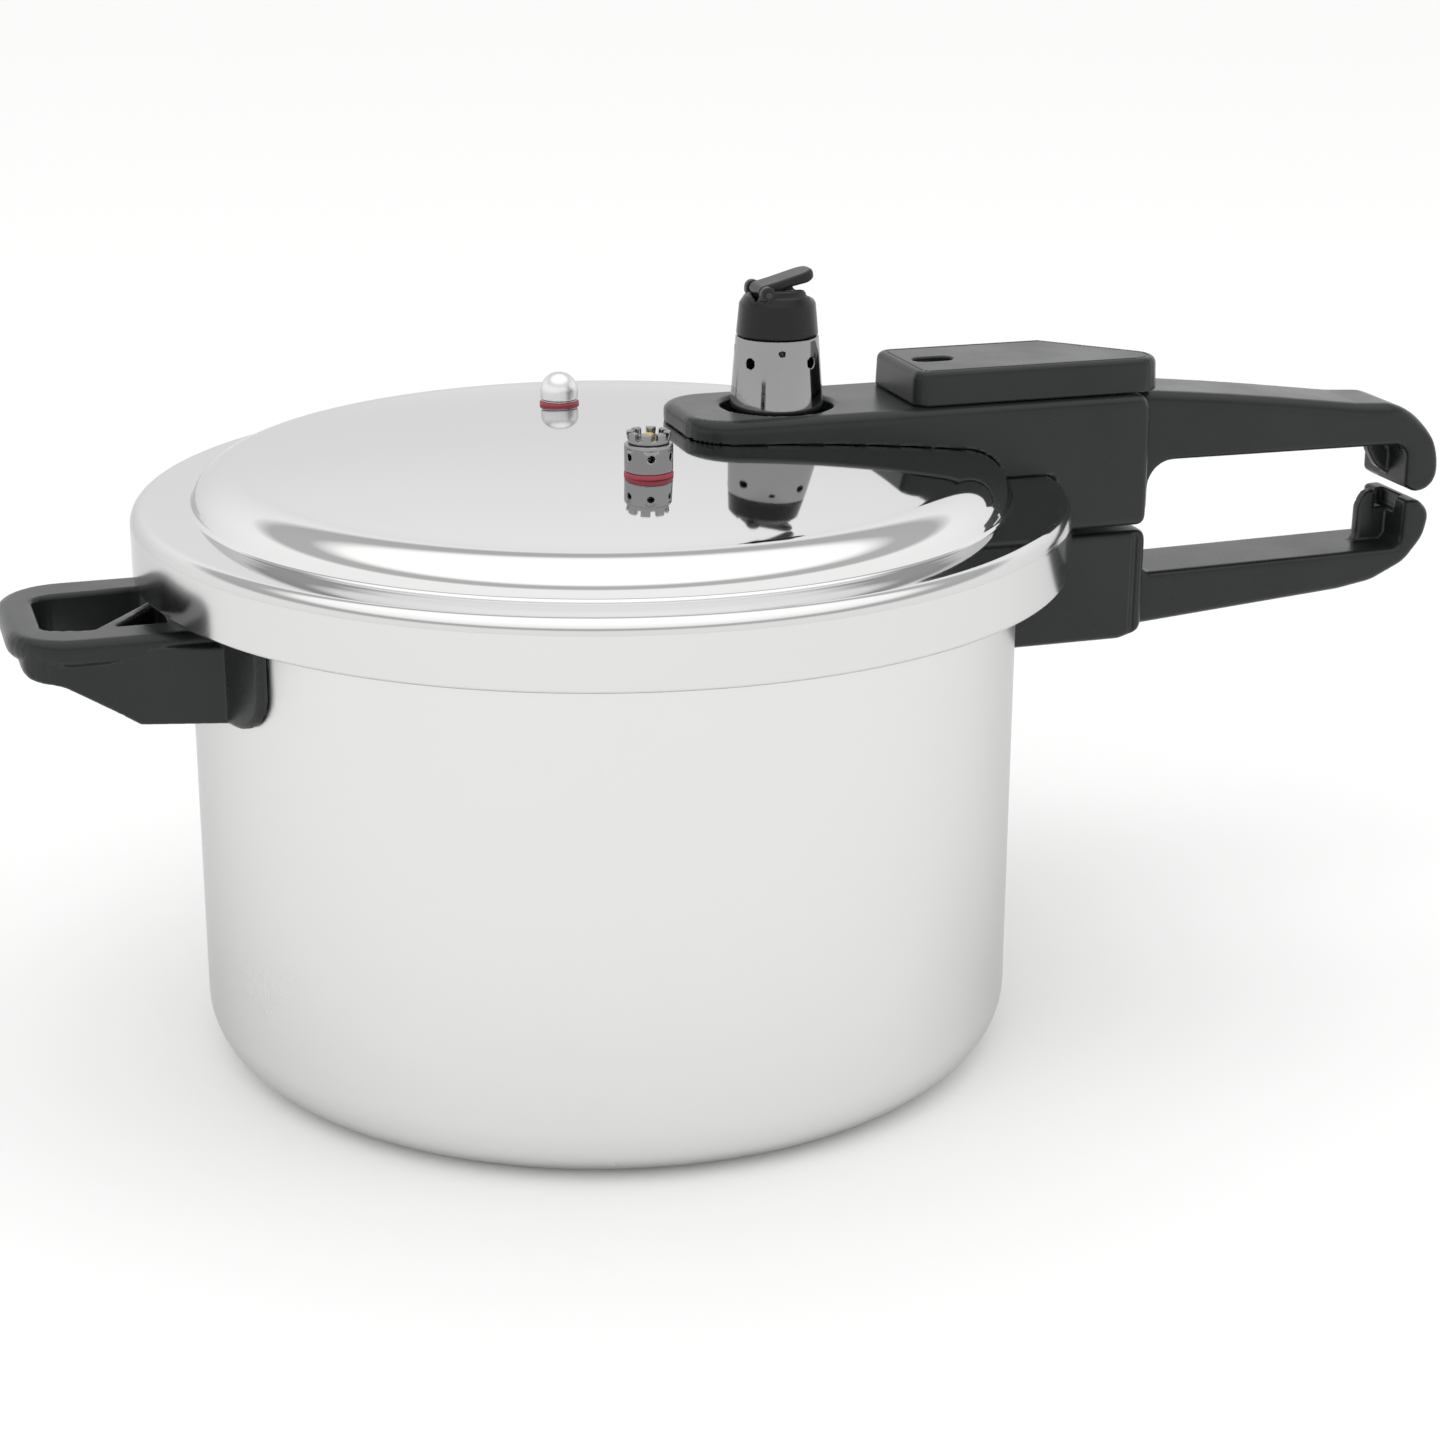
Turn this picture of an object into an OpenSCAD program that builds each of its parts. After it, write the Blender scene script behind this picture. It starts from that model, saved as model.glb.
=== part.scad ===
// Stovetop pressure cooker with an outer bayonet lid, a long two-part handle and a helper handle.
// The origin is the centre of the pot's base, +X runs along the long handle and +Z is up. Units are mm.

/* [Pot] */
// Outer radius of the pot wall
pot_r = 123; // [120:1:126]
// Height of the pot rim above the base
rim_z = 158; // [150:1:180]
// Thickness of the pot wall
pot_wall = 3; // [2.5:0.5:3.5]
// Thickness of the pot floor
pot_floor = 5; // [4:1:6]
// Outer radius of the corner between the wall and the floor
corner_r = 17; // [14:1:20]

/* [Lid] */
// How far the lid skirt stands outside the pot wall
lid_over = 15.5; // [15:0.5:17]
// Thickness of the lid sheet
lid_wall = 3; // [2.5:0.5:3]
// Height of the raised centre above the flat ring
dome_h = 10; // [8:1:12]
// Extra height of the crown at the middle of the lid
crown_h = 6.8; // [5:0.2:7.4]
// Number of bayonet lugs
lug_count = 6; // [4:1:8]
// Width of one bayonet lug in degrees
lug_angle = 23; // [16:1:24]

/* [Long handle] */
// Distance from the centre to the end of the long handle
grip_end = 274; // [270:1:285]
// Width of the arm and of the neck
neck_w = 46; // [42:1:48]
// Width of the grip
grip_w = 29; // [26:1:31]
// Thickness of the arm above the crown of the lid
arm_t = 5.7; // [5:0.1:7]

/* [Helper handle] */
// Distance from the centre to the outside of the helper handle
helper_end = 177; // [172:1:182]
// Width of the helper handle
helper_w = 66; // [62:1:70]

/* [Fittings] */
// Distance of the vent pipe and its weight from the centre
vent_x = 54; // [52:1:56]
// Distance of the relief valve from the centre
relief_y = 47; // [44:1:54]
// Distance of the pressure indicator from the centre
indicator_y = 50; // [46:1:54]

/* [Hidden] */
$fn = 96;

// pot and lid
flange_t = 3;
flange_r = pot_r + 6.5;
pot_lug_r = pot_r + 11;
lid_r = pot_r + lid_over;
skirt_z = rim_z - 9.5;
ring_z = rim_z + 10;
ring_fillet = 4.5;
dome_base_r = lid_r - 18;
dome_top_r = lid_r - 32.5;
dome_z = ring_z + dome_h;
crown_z = dome_z + crown_h;
seat_z = rim_z + 0.05;
lid_lug_z = skirt_z + 1;
lid_lug_t = 3;
lid_lug_r = flange_r + 1;
arc_steps = 6;

// long handle, both halves
arm_z = crown_z + arm_t;
neck_end = 169;
gap_z = skirt_z - 1.2;
neck_z = gap_z + 2;
nose_x = 21;
nose_r = 15;
hole_r = 17;
block_z = gap_z - 34.5;
bolt_x = 154;
bolt_r = 3;
bolt_head_r = 4;
web_half = 2.6;
hook_x = grip_end - 11;
cover_top = arm_z + 10.5;
cover_in = cover_top - 2.5;
cover_x = 91.5;
cover_corner_x = 147.5;
cover_tip_x = 163.8;
cover_tip_r = 9;
cover_slant = 42.6;
cover_half = 20;
cover_screws_at = [[97.5, 13], [97.5, -13]];
slot_x = 104;
arm_screws = [[82, 0], [97, 0]];

// helper handle
helper_top = skirt_z - 4.5;
helper_low = helper_top - 25.5;
helper_flare = 8;
pad_t = 3;
pad_w = 109;
pad_corner = 13.5;

// screws that hold the handles on the pot
screw_r = 2.5;
screw_places = [[137, 0], [149, 0], [-132, 25], [-132, -25]];
tongue_z = 126;
tongue_t = 8;

// fittings on the lid
function lid_z(r) = crown_z - crown_h * pow(r / dome_top_r, 2);
vent_z = lid_z(vent_x);
relief_z = lid_z(relief_y);
indicator_z = lid_z(indicator_y);
stem_r = 4;
weight_low = vent_z + 3.6;
weight_mid = arm_z + 20.8;
weight_top = weight_mid + 12.6;
nozzle_z = vent_z + 19;
tab_x = vent_x - 5.5;
tab_z = weight_top + 0.7;
tab_tilt = 15;
relief_low = relief_z + 1.1;
relief_h = 8;
indicator_low = indicator_z + 1.1;
port_count = 4;

// ---------- outlines ----------

// An arc of the given radius about a point, from one angle to another.
function arc(x, y, r, a, b, n = arc_steps) =
    [for (i = [0 : n]) let (t = a + (b - a) * i / n) [x + r * cos(t), y + r * sin(t)]];

function reversed(points) = [for (i = [len(points) - 1 : -1 : 0]) points[i]];

// The lid's surface from the middle to the skirt's lower edge, a sheet thickness t inside it.
function lid_line(t) = concat(
    [for (i = [0 : arc_steps]) let (r = dome_top_r * i / arc_steps) [r, lid_z(r) - t]],
    [for (i = [1 : arc_steps]) let (a = 90 * i / arc_steps, w = dome_base_r - dome_top_r)
        [dome_top_r - 0.3 * t + (w - 0.7 * t) * sin(a), ring_z - t + dome_h * cos(a)]],
    arc(lid_r - ring_fillet, ring_z - ring_fillet, ring_fillet - min(t, ring_fillet - 1), 90, 0),
    [[lid_r - t, skirt_z]]
);

// Everything that the closed lid covers, used to shape what lies on the lid.
module under_lid() {
    rotate_extrude()
        polygon(concat([[0, skirt_z - 30]], lid_line(0), [[lid_r, skirt_z - 30]]));
}

// A set of bayonet lugs as a ring cut into equal teeth.
module lugs(inner, outer, z, t) {
    for (i = [0 : lug_count - 1])
        rotate([0, 0, 360 / lug_count * (i + 0.5) - lug_angle / 2])
            rotate_extrude(angle = lug_angle)
                translate([inner, z]) square([outer - inner, t]);
}

// A solid whose outline is drawn in X and Z, centred on Y.
module side_slab(points, width) {
    translate([0, width / 2, 0])
        rotate([90, 0, 0])
            linear_extrude(width) polygon(points);
}

// A rectangle with rounded corners at its low-X end.
module nose_plan(x0, x1, w, r) {
    polygon(concat(
        arc(x0 + r, w / 2 - r, r, 180, 90),
        [[x1, w / 2], [x1, -w / 2]],
        arc(x0 + r, -w / 2 + r, r, 270, 180)
    ));
}

// ---------- pot ----------

module pot_body() {
    inner_r = pot_r - pot_wall;
    inner_corner = corner_r - pot_wall;
    color("gainsboro") {
        rotate_extrude() polygon(concat(
            [[0, 0]],
            arc(pot_r - corner_r, corner_r, corner_r, 270, 360),
            [[pot_r, rim_z - flange_t - 2], [pot_r + 2, rim_z - flange_t],
             [flange_r, rim_z - flange_t], [flange_r, rim_z], [inner_r, rim_z]],
            arc(inner_r - inner_corner, pot_floor + inner_corner, inner_corner, 360, 270),
            [[0, pot_floor]]
        ));
        lugs(flange_r - 1, pot_lug_r, rim_z - flange_t, flange_t);
    }
}

// A strap spot-welded to the wall, curved to it, spanning an angle about the given direction.
module wall_strap(direction, span, z, h) {
    rotate([0, 0, direction - span / 2])
        rotate_extrude(angle = span)
            translate([pot_r, z]) square([2, h]);
}

module screw_bores(r, low, high, places = screw_places) {
    for (p = places)
        translate([p[0], p[1], low]) cylinder(r = r, h = high - low);
}

module pot_handle_bracket() {
    color("silver") difference() {
        union() {
            wall_strap(0, 16, tongue_z - 6, 20);
            translate([pot_r + 1, -7, tongue_z]) cube([33, 14, tongue_t]);
        }
        screw_bores(screw_r, tongue_z - 1, tongue_z + tongue_t + 1, [screw_places[0], screw_places[1]]);
    }
}

module helper_bracket() {
    color("silver") difference() {
        union() {
            wall_strap(180, 32, tongue_z - 1, 10);
            for (side = [-1, 1])
                translate([-138, side * 25 - 5, tongue_z]) cube([19, 10, tongue_t]);
        }
        cylinder(r = pot_r, h = rim_z);
        screw_bores(screw_r, tongue_z - 1, tongue_z + tongue_t + 1, [screw_places[2], screw_places[3]]);
    }
}

// Pan-head screws driven up through the handles into the tongues of the brackets.
module handle_screws() {
    color("lightgray") for (p = screw_places) {
        low = p[0] > 0 ? block_z : helper_low;
        translate([p[0], p[1], low + 1]) {
            difference() {
                cylinder(r = 4.5, h = 3);
                translate([-3.5, -0.5, -1]) cube([7, 1, 2.2]);
            }
            translate([0, 0, 2.5]) cylinder(r = screw_r, h = tongue_z + tongue_t - low - 3.5);
        }
    }
}

// Counterbores and clearance bores for the screws above.
module screw_ways(places, low) {
    screw_bores(4.7, low - 1, low + 4, places);
    screw_bores(screw_r, low, tongue_z + tongue_t, places);
}

// ---------- lower half of the long handle ----------

// Clears the inside of a hook on both sides of its thin web.
module hook_pockets(x, z, h) {
    for (side = [0, 1])
        mirror([0, side, 0]) translate([x, web_half, z]) cube([hook_x - x, grip_w, h]);
}

// Side view of the block and the hooked grip.
function low_grip_line() = concat(
    [[neck_end - 1, block_z + 2], [grip_end - 34, block_z + 7.5]],
    arc(grip_end - 29, block_z + 33.5, 26, 290, 355),
    arc(grip_end - 9, gap_z - 3.5, 6, 10, 90, 4),
    arc(grip_end - 16, gap_z - 1.5, 4, 90, 180, 4),
    arc(grip_end - 26, gap_z - 9.5, 6, 0, -90, 4),
    arc(neck_end + 7.5, block_z + 25.5, 7, 270, 180, 4),
    [[neck_end - 1, block_z + 20]]
);

module low_block() {
    side_slab([
        [pot_r - 10, block_z], [neck_end - 8, block_z], [neck_end - 1, block_z + 2],
        [neck_end + 1, block_z + 5], [neck_end + 1, gap_z - 6], [neck_end - 3, gap_z],
        [pot_r - 10, gap_z]
    ], neck_w - 4);
}

module pot_handle() {
    groove = 0.8;
    color("dimgray") difference() {
        union() {
            low_block();
            side_slab(low_grip_line(), grip_w);
        }
        cylinder(r = pot_r, h = rim_z);
        wall_strap(0, 16.5, tongue_z - 6.2, 20.4);
        translate([pot_r - 5, -7.2, tongue_z - 0.2]) cube([39.5, 14.4, tongue_t + 0.4]);
        screw_ways([screw_places[0], screw_places[1]], block_z);
        translate([bolt_x, 0, gap_z - 10]) cylinder(r = 6, h = 12);
        for (side = [-1, 1])
            translate([neck_end - 5, side * (neck_w / 2 - 2) - groove, block_z - 1])
                cube([groove, 2 * groove, 60]);
        hook_pockets(grip_end - 28, gap_z - 15.5, 20);
        translate([grip_end - 15, -6, gap_z - 3.5]) cube([7, 12, 8]);
    }
}

module lock_bush() {
    color("silver") translate([bolt_x, 0, gap_z - 10]) difference() {
        cylinder(r = 6, h = 10);
        translate([0, 0, 1.5]) cylinder(r = bolt_r + 0.4, h = 10);
    }
}

// ---------- helper handle ----------

// Plan of the helper handle, which widens towards the pot.
module helper_plan() {
    nose_plan(-helper_end, -pot_r + 12, helper_w, 17);
    polygon([
        [-pot_r - 27, helper_w / 2], [-pot_r + 4, helper_w / 2 + helper_flare],
        [-pot_r + 12, helper_w / 2 + helper_flare], [-pot_r + 12, -helper_w / 2 - helper_flare],
        [-pot_r + 4, -helper_w / 2 - helper_flare], [-pot_r - 27, -helper_w / 2]
    ]);
}

module helper_outside() {
    intersection() {
        translate([0, 0, helper_low - 1]) linear_extrude(60) helper_plan();
        side_slab([
            [-helper_end, helper_top - 4], [-helper_end + 3, helper_top], [-pot_r + 12, helper_top],
            [-pot_r + 12, helper_low], [-helper_end + 34, helper_low],
            [-helper_end + 13, helper_top - 12.5], [-helper_end + 5, helper_top - 11.5],
            [-helper_end, helper_top - 8]
        ], helper_w + 2 * helper_flare + 2);
    }
}

// The broad foot that wraps the pot wall.
module helper_pad() {
    half = pad_w / 2;
    intersection() {
        rotate_extrude() translate([pot_r, helper_low]) square([pad_t, helper_top - helper_low]);
        rotate([90, 0, -90]) linear_extrude(pot_r + 20) polygon(concat(
            [[-half, helper_top], [half, helper_top]],
            arc(half - pad_corner, helper_low + pad_corner, pad_corner, 0, -90),
            arc(-half + pad_corner, helper_low + pad_corner, pad_corner, -90, -180)
        ));
    }
}

module helper_handle() {
    outer = -helper_end + 9.5;
    color("dimgray") difference() {
        union() {
            helper_outside();
            helper_pad();
        }
        cylinder(r = pot_r, h = rim_z);
        // the finger opening, whose inner side is a slanting web
        translate([0, 0, helper_low - 1]) linear_extrude(60)
            polygon([[outer, -16], [-154, -20], [-133, 7.5], [-133, 18], [outer, 16]]);
        // the shallow pocket behind the web
        translate([0, 0, helper_top - 5]) linear_extrude(60)
            polygon([[-148.5, -19], [-133, -19], [-133, 1.3]]);
        wall_strap(180, 32.5, tongue_z - 1.2, 10.4);
        for (side = [-1, 1])
            translate([-138.2, side * 25 - 5.2, tongue_z - 0.2]) cube([25, 10.4, tongue_t + 0.4]);
        screw_ways([screw_places[2], screw_places[3]], helper_low);
    }
}

// ---------- gasket ----------

// A channel section that opens inwards, so that steam presses its lips apart.
module gasket() {
    outer = lid_r - lid_wall - 0.4;
    top = ring_z - lid_wall - 0.2;
    color("dimgray") rotate_extrude() polygon([
        [pot_r - 1.5, seat_z], [pot_lug_r - 0.6, seat_z], [pot_lug_r, rim_z + 1.2],
        [outer, rim_z + 1.2], [outer, top - 1.4], [outer - 1.4, top], [pot_r + 0.5, top],
        [pot_r - 1, top - 1.6], [pot_r + 5, top - 2.4], [pot_r + 6, top - 3],
        [pot_r + 6, rim_z + 2.8], [pot_r + 5, rim_z + 2.2], [pot_r - 1.5, rim_z + 1.6]
    ]);
}

// ---------- lid ----------

module lid_shell() {
    color("whitesmoke") difference() {
        union() {
            rotate_extrude() polygon(concat(lid_line(0), reversed(lid_line(lid_wall))));
            lugs(lid_lug_r, lid_r - 1, lid_lug_z, lid_lug_t);
        }
        translate([vent_x, 0, crown_z - 20]) cylinder(r = stem_r, h = 30);
        translate([0, -relief_y, crown_z - 20]) cylinder(r = stem_r, h = 30);
        translate([0, indicator_y, crown_z - 20]) cylinder(r = stem_r, h = 30);
        for (p = arm_screws)
            translate([p[0], p[1], crown_z - 20]) cylinder(r = screw_r, h = 30);
        spot_faces();
    }
}

// Flat seats around the holes, cut just into the crown.
module spot_faces() {
    translate([vent_x, 0, vent_z - 0.4]) cylinder(r = 7.5, h = 10);
    translate([0, -relief_y, relief_z - 0.4]) cylinder(r = 7.5, h = 10);
    translate([0, indicator_y, indicator_z - 0.4]) cylinder(r = 6.6, h = 10);
}

// Side view of the hooked grip of the lid handle.
function high_grip_line() = concat(
    [[neck_end - 12, neck_z + 12], [neck_end + 2, neck_z + 12]],
    arc(neck_end + 11, neck_z + 9, 8.5, 160, 90, 4),
    [[grip_end - 28, neck_z + 17]],
    arc(grip_end - 15, neck_z + 13.5, 6, 180, 230, 3),
    [[grip_end - 13, neck_z + 4.5], [grip_end - 7, neck_z + 2.6]],
    arc(grip_end - 3, neck_z + 6.5, 3, 285, 360, 4),
    arc(grip_end - 22.5, neck_z + 8.6, 22.5, 15, 80),
    [[neck_end + 60, arm_z - 8], [neck_end + 30, arm_z - 4.5], [neck_end + 8, arm_z - 1.5],
     [neck_end - 12, arm_z]]
);

module neck() {
    intersection() {
        side_slab([
            [nose_x, vent_z - 30], [nose_x, arm_z - 2.5], [nose_x + 3, arm_z], [neck_end - 3, arm_z],
            [neck_end, arm_z - 3], [neck_end, neck_z + 4], [neck_end - 4, neck_z],
            [100, neck_z]
        ], neck_w);
        translate([0, 0, neck_z - 1]) linear_extrude(80) nose_plan(nose_x, neck_end, neck_w, nose_r);
    }
}

module lid_handle() {
    color("dimgray") difference() {
        union() {
            neck();
            side_slab(high_grip_line(), grip_w);
        }
        under_lid();
        translate([vent_x, 0, vent_z - 20]) cylinder(r = hole_r, h = 60);
        // bore and spring seat of the lock bolt
        translate([bolt_x, 0, neck_z - 1]) cylinder(r = bolt_r + 0.1, h = 60);
        translate([bolt_x, 0, arm_z - 14]) cylinder(r = bolt_head_r + 0.8, h = 20);
        for (p = arm_screws)
            translate([p[0], p[1], vent_z - 20]) cylinder(r = screw_r, h = arm_z - vent_z + 18);
        for (p = cover_screws_at)
            translate([p[0], p[1], vent_z - 20]) {
                cylinder(r = 1.5, h = 40);
                cylinder(r = 2.8, h = 22.5);
            }
        hook_pockets(grip_end - 28, neck_z - 1, 18);
    }
}

// Plan of the raised cover, a grown or shrunk by d.
module cover_plan(d) {
    round_r = 5;
    side = cover_half - round_r;
    polygon(concat(
        arc(cover_x + round_r, side, round_r + d, 180, 90, 4),
        [[cover_corner_x + d * tan(45 - cover_slant / 2), cover_half + d]],
        arc(cover_tip_x, cover_tip_r - cover_half, cover_tip_r + d, cover_slant, -90),
        arc(cover_x + round_r, -side, round_r + d, 270, 180, 4)
    ));
}

module slot_plan(r, length) {
    for (x = [-1, 1])
        translate([x * (length / 2 - r), 0]) circle(r);
    square([length - 2 * r, 2 * r], center = true);
}

module handle_cover() {
    color("dimgray") difference() {
        union() {
            translate([0, 0, arm_z]) linear_extrude(cover_top - arm_z - 1.2) cover_plan(0);
            translate([0, 0, cover_top - 1.3]) linear_extrude(1.3) cover_plan(-1.2);
        }
        difference() {
            translate([0, 0, arm_z - 1]) linear_extrude(cover_in - arm_z + 1) cover_plan(-2.5);
            for (p = cover_screws_at)
                translate([p[0], p[1], arm_z - 2]) cylinder(r = 4, h = 20);
        }
        for (p = cover_screws_at)
            translate([p[0], p[1], arm_z - 1]) cylinder(r = 1.5, h = 7);
        translate([slot_x, 0, cover_in - 1]) linear_extrude(10) slot_plan(3.5, 13);
    }
}

module cover_screws() {
    color("lightgray") for (p = cover_screws_at)
        translate([p[0], p[1], vent_z + 0.5]) {
            cylinder(r = 2.7, h = 1.9);
            cylinder(r = 1.5, h = arm_z + 6 - vent_z - 0.5);
        }
}

module lid_handle_screws() {
    color("lightgray") for (p = arm_screws) {
        under = lid_z(p[0] + 5) - lid_wall - 1.5;
        translate([p[0], p[1], under - 2.5]) {
            cylinder(r = 4.2, h = 2.5, $fn = 6);
            cylinder(r = screw_r, h = arm_z - 2.2 - under);
        }
    }
}

module lid_handle_washers() {
    color("darkgray") for (p = arm_screws)
        translate([p[0], p[1], lid_z(p[0] + 5) - lid_wall - 1.5]) difference() {
            cylinder(r = 5, h = 1.4);
            translate([0, 0, -1]) cylinder(r = screw_r, h = 4);
        }
}

// ---------- vent pipe and weight ----------

module vent_pipe() {
    color("silver") translate([vent_x, 0, 0]) difference() {
        union() {
            translate([0, 0, vent_z - 12]) cylinder(r = stem_r, h = nozzle_z - vent_z + 9);
            translate([0, 0, nozzle_z - 3.01]) cylinder(r1 = stem_r, r2 = 2.8, h = 3.01);
            translate([0, 0, vent_z + 0.8]) cylinder(r = 6.5, h = 2.4, $fn = 6);
        }
        translate([0, 0, vent_z - 20]) cylinder(r = 1.5, h = 60);
    }
}

// A flat ring that sits on a spot face.
module seat_ring(x, y, low, h, outer) {
    translate([x, y, low]) difference() {
        cylinder(r = outer, h = h);
        translate([0, 0, -1]) cylinder(r = stem_r, h = h + 2);
    }
}

// A hexagon nut on the underside of the lid.
module stem_nut(x, y, top, h) {
    translate([x, y, top - h]) difference() {
        cylinder(r = 7, h = h, $fn = 6);
        translate([0, 0, -1]) cylinder(r = stem_r, h = h + 2);
    }
}

module vent_washer() {
    color("darkgray") seat_ring(vent_x, 0, vent_z - 0.4, 1.2, 7.2);
}

module vent_nut() {
    color("silver") stem_nut(vent_x, 0, lid_z(vent_x + 7) - lid_wall, 4);
}

// A perforated cup that keeps food out of the pipe.
module vent_strainer() {
    low = vent_z - 18;
    color("silver") translate([vent_x, 0, low]) difference() {
        cylinder(r = stem_r + 1, h = 10);
        translate([0, 0, 1]) cylinder(r = stem_r, h = 10);
        for (a = [0 : 60 : 300])
            rotate([0, 0, a]) translate([0, 0, 3.5]) rotate([0, 90, 0]) cylinder(r = 1.1, h = 10);
    }
}

module weight_body() {
    port_z = weight_mid - 7;
    color("lightgray") translate([vent_x, 0, 0]) difference() {
        translate([0, 0, weight_low]) cylinder(r1 = 14.3, r2 = 12.5, h = weight_mid - weight_low);
        translate([0, 0, weight_low - 1]) cylinder(r = 7.5, h = 3.6);
        translate([0, 0, weight_low - 1]) cylinder(r = stem_r + 0.5, h = nozzle_z - weight_low + 1);
        translate([0, 0, nozzle_z - 1]) cylinder(r = 3.6, h = 40);
        for (i = [0 : port_count - 1]) {
            turn = 360 / port_count;
            rotate([0, 0, 33 + turn * i]) translate([10, 0, port_z])
                rotate([0, 90, 0]) cylinder(r = 1.6, h = 10);
            rotate([0, 0, 33 + turn * (i + 0.5)]) translate([10, 0, port_z + 3.4])
                rotate([0, 90, 0]) cylinder(r = 0.9, h = 10);
        }
    }
}

module weight_needle() {
    color("silver") translate([vent_x, 0, nozzle_z]) {
        cylinder(r = 3.6, h = weight_mid - nozzle_z);
        translate([0, 0, -2.4]) cylinder(r1 = 0.4, r2 = 1.1, h = 2.41);
    }
}

module weight_cap() {
    color("dimgray") translate([vent_x, 0, 0]) difference() {
        union() {
            translate([0, 0, weight_mid]) cylinder(r1 = 12.2, r2 = 11, h = weight_top - weight_mid);
            translate([0, 0, weight_top]) cylinder(r1 = 11, r2 = 8.5, h = 1.6);
            for (side = [-1, 1])
                translate([tab_x - vent_x, side * 7, 0]) tab_ear();
        }
        translate([tab_x - vent_x - 3.4, -5.4, tab_z - 2.6]) cube([20.4, 10.8, 10]);
        translate([tab_x - vent_x, -12, tab_z]) rotate([-90, 0, 0]) cylinder(r = 1, h = 24);
    }
}

module tab_ear() {
    translate([0, 1.5, tab_z]) rotate([90, 0, 0]) cylinder(r = 2.2, h = 3);
    translate([-2.2, -1.5, weight_top]) cube([4.4, 3, tab_z - weight_top]);
}

module weight_tab_pin() {
    color("silver") translate([tab_x, -8.5, tab_z]) rotate([-90, 0, 0]) cylinder(r = 1, h = 17);
}

// The finger tab, a rounded tongue that rises away from its pin.
module weight_tab() {
    color("gray") translate([tab_x, 0, tab_z]) rotate([0, -tab_tilt, 0]) difference() {
        union() {
            translate([0, 5.1, 0]) rotate([90, 0, 0]) cylinder(r = 2.2, h = 10.2);
            translate([0, 0, -0.6]) linear_extrude(2.8) polygon(concat(
                [[0, 5.1]], arc(12, 0, 5.1, 90, -90), [[0, -5.1]]
            ));
        }
        translate([0, -12, 0]) rotate([-90, 0, 0]) cylinder(r = 1.05, h = 24);
    }
}

// ---------- handle lock ----------

// The slide pushes the bolt down with a 45 degree ramp, so both travel the same distance.
ramp_z = arm_z + 3;

module lock_slide() {
    low = arm_z + 0.1;
    color("darkgray") difference() {
        union() {
            translate([slot_x - 8, -4.5, low]) cube([45, 9, 3.5]);
            translate([bolt_x - 14, -3, low]) cube([19, 6, cover_in - 0.3 - low]);
            translate([slot_x - 3, 0, low]) linear_extrude(cover_top - 1 - low) slot_plan(2.8, 6.4);
        }
        // clears the slanting end of the cover
        translate([bolt_x - 0.6, 3, low - 1]) rotate([0, 0, cover_slant - 90])
            translate([-20, 0, 0]) cube([60, 20, 20]);
        // ramp over the bolt head
        side_slab([
            [bolt_x - 8, ramp_z - 8 + 0.1], [bolt_x + 8, ramp_z + 8 + 0.1],
            [bolt_x + 8, ramp_z - 8 + 0.1]
        ], 20);
    }
}

module lock_bolt() {
    color("silver") difference() {
        union() {
            translate([bolt_x, 0, neck_z + 0.2]) cylinder(r = bolt_r, h = ramp_z + 6 - neck_z);
            translate([bolt_x, 0, arm_z - 3]) cylinder(r = bolt_head_r, h = 12);
        }
        side_slab([
            [bolt_x - 9, ramp_z - 9 - 0.1], [bolt_x + 9, ramp_z + 9 - 0.1],
            [bolt_x + 9, ramp_z + 20], [bolt_x - 9, ramp_z + 20]
        ], 20);
    }
}

// A plain helical spring drawn as its sleeve, which shortens as it is pressed.
module spring_sleeve(x, y, low, high, inner, outer) {
    translate([x, y, low]) difference() {
        cylinder(r = outer, h = high - low);
        translate([0, 0, -1]) cylinder(r = inner, h = high - low + 2);
    }
}

module lock_spring() {
    color("silver") spring_sleeve(bolt_x, 0, arm_z - 14, arm_z - 3.1, bolt_r + 0.3, bolt_head_r + 0.5);
}

// ---------- relief valve ----------

module relief_body() {
    color("silver") translate([0, -relief_y, 0]) difference() {
        union() {
            translate([0, 0, relief_low]) cylinder(r = 6.9, h = relief_h);
            translate([0, 0, relief_z - 9]) cylinder(r = stem_r, h = 11);
        }
        translate([0, 0, relief_z - 10]) cylinder(r = 1.6, h = 20);
        translate([0, 0, relief_low + 1.2]) cylinder(r = 5, h = 10);
        for (a = [0 : 60 : 300])
            rotate([0, 0, a + 20]) translate([4, 0, relief_low + 4.6]) rotate([0, 90, 0])
                cylinder(r = 1, h = 6);
    }
}

module relief_gasket() {
    color("firebrick") seat_ring(0, -relief_y, relief_z - 0.4, 1.5, 7);
}

module relief_nut() {
    color("silver") stem_nut(0, -relief_y, lid_z(relief_y + 7) - lid_wall, 3.5);
}

// The castellated cap that holds the spring down.
module relief_crown() {
    low = relief_low + relief_h;
    color("silver") translate([0, -relief_y, 0]) difference() {
        union() {
            translate([0, 0, low]) cylinder(r1 = 5.8, r2 = 6.4, h = 3.4);
            translate([0, 0, low - 1]) cylinder(r = 5, h = 1.5);
        }
        translate([0, 0, low - 2]) cylinder(r = 1.7, h = 10);
        translate([0, 0, low + 1.2]) cylinder(r = 4, h = 10);
        for (a = [0 : 45 : 315])
            rotate([0, 0, a]) translate([3, -0.9, low + 1.2]) cube([5, 1.8, 5]);
    }
}

module relief_plunger() {
    low = relief_low + 1.2;
    color("goldenrod") translate([0, -relief_y, low]) {
        cylinder(r = 4.2, h = 0.8);
        cylinder(r = 1.5, h = 9.5);
    }
}

module relief_spring() {
    color("silver") spring_sleeve(0, -relief_y, relief_low + 2, relief_low + relief_h - 1, 1.8, 2.8);
}

// ---------- pressure indicator ----------

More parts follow.
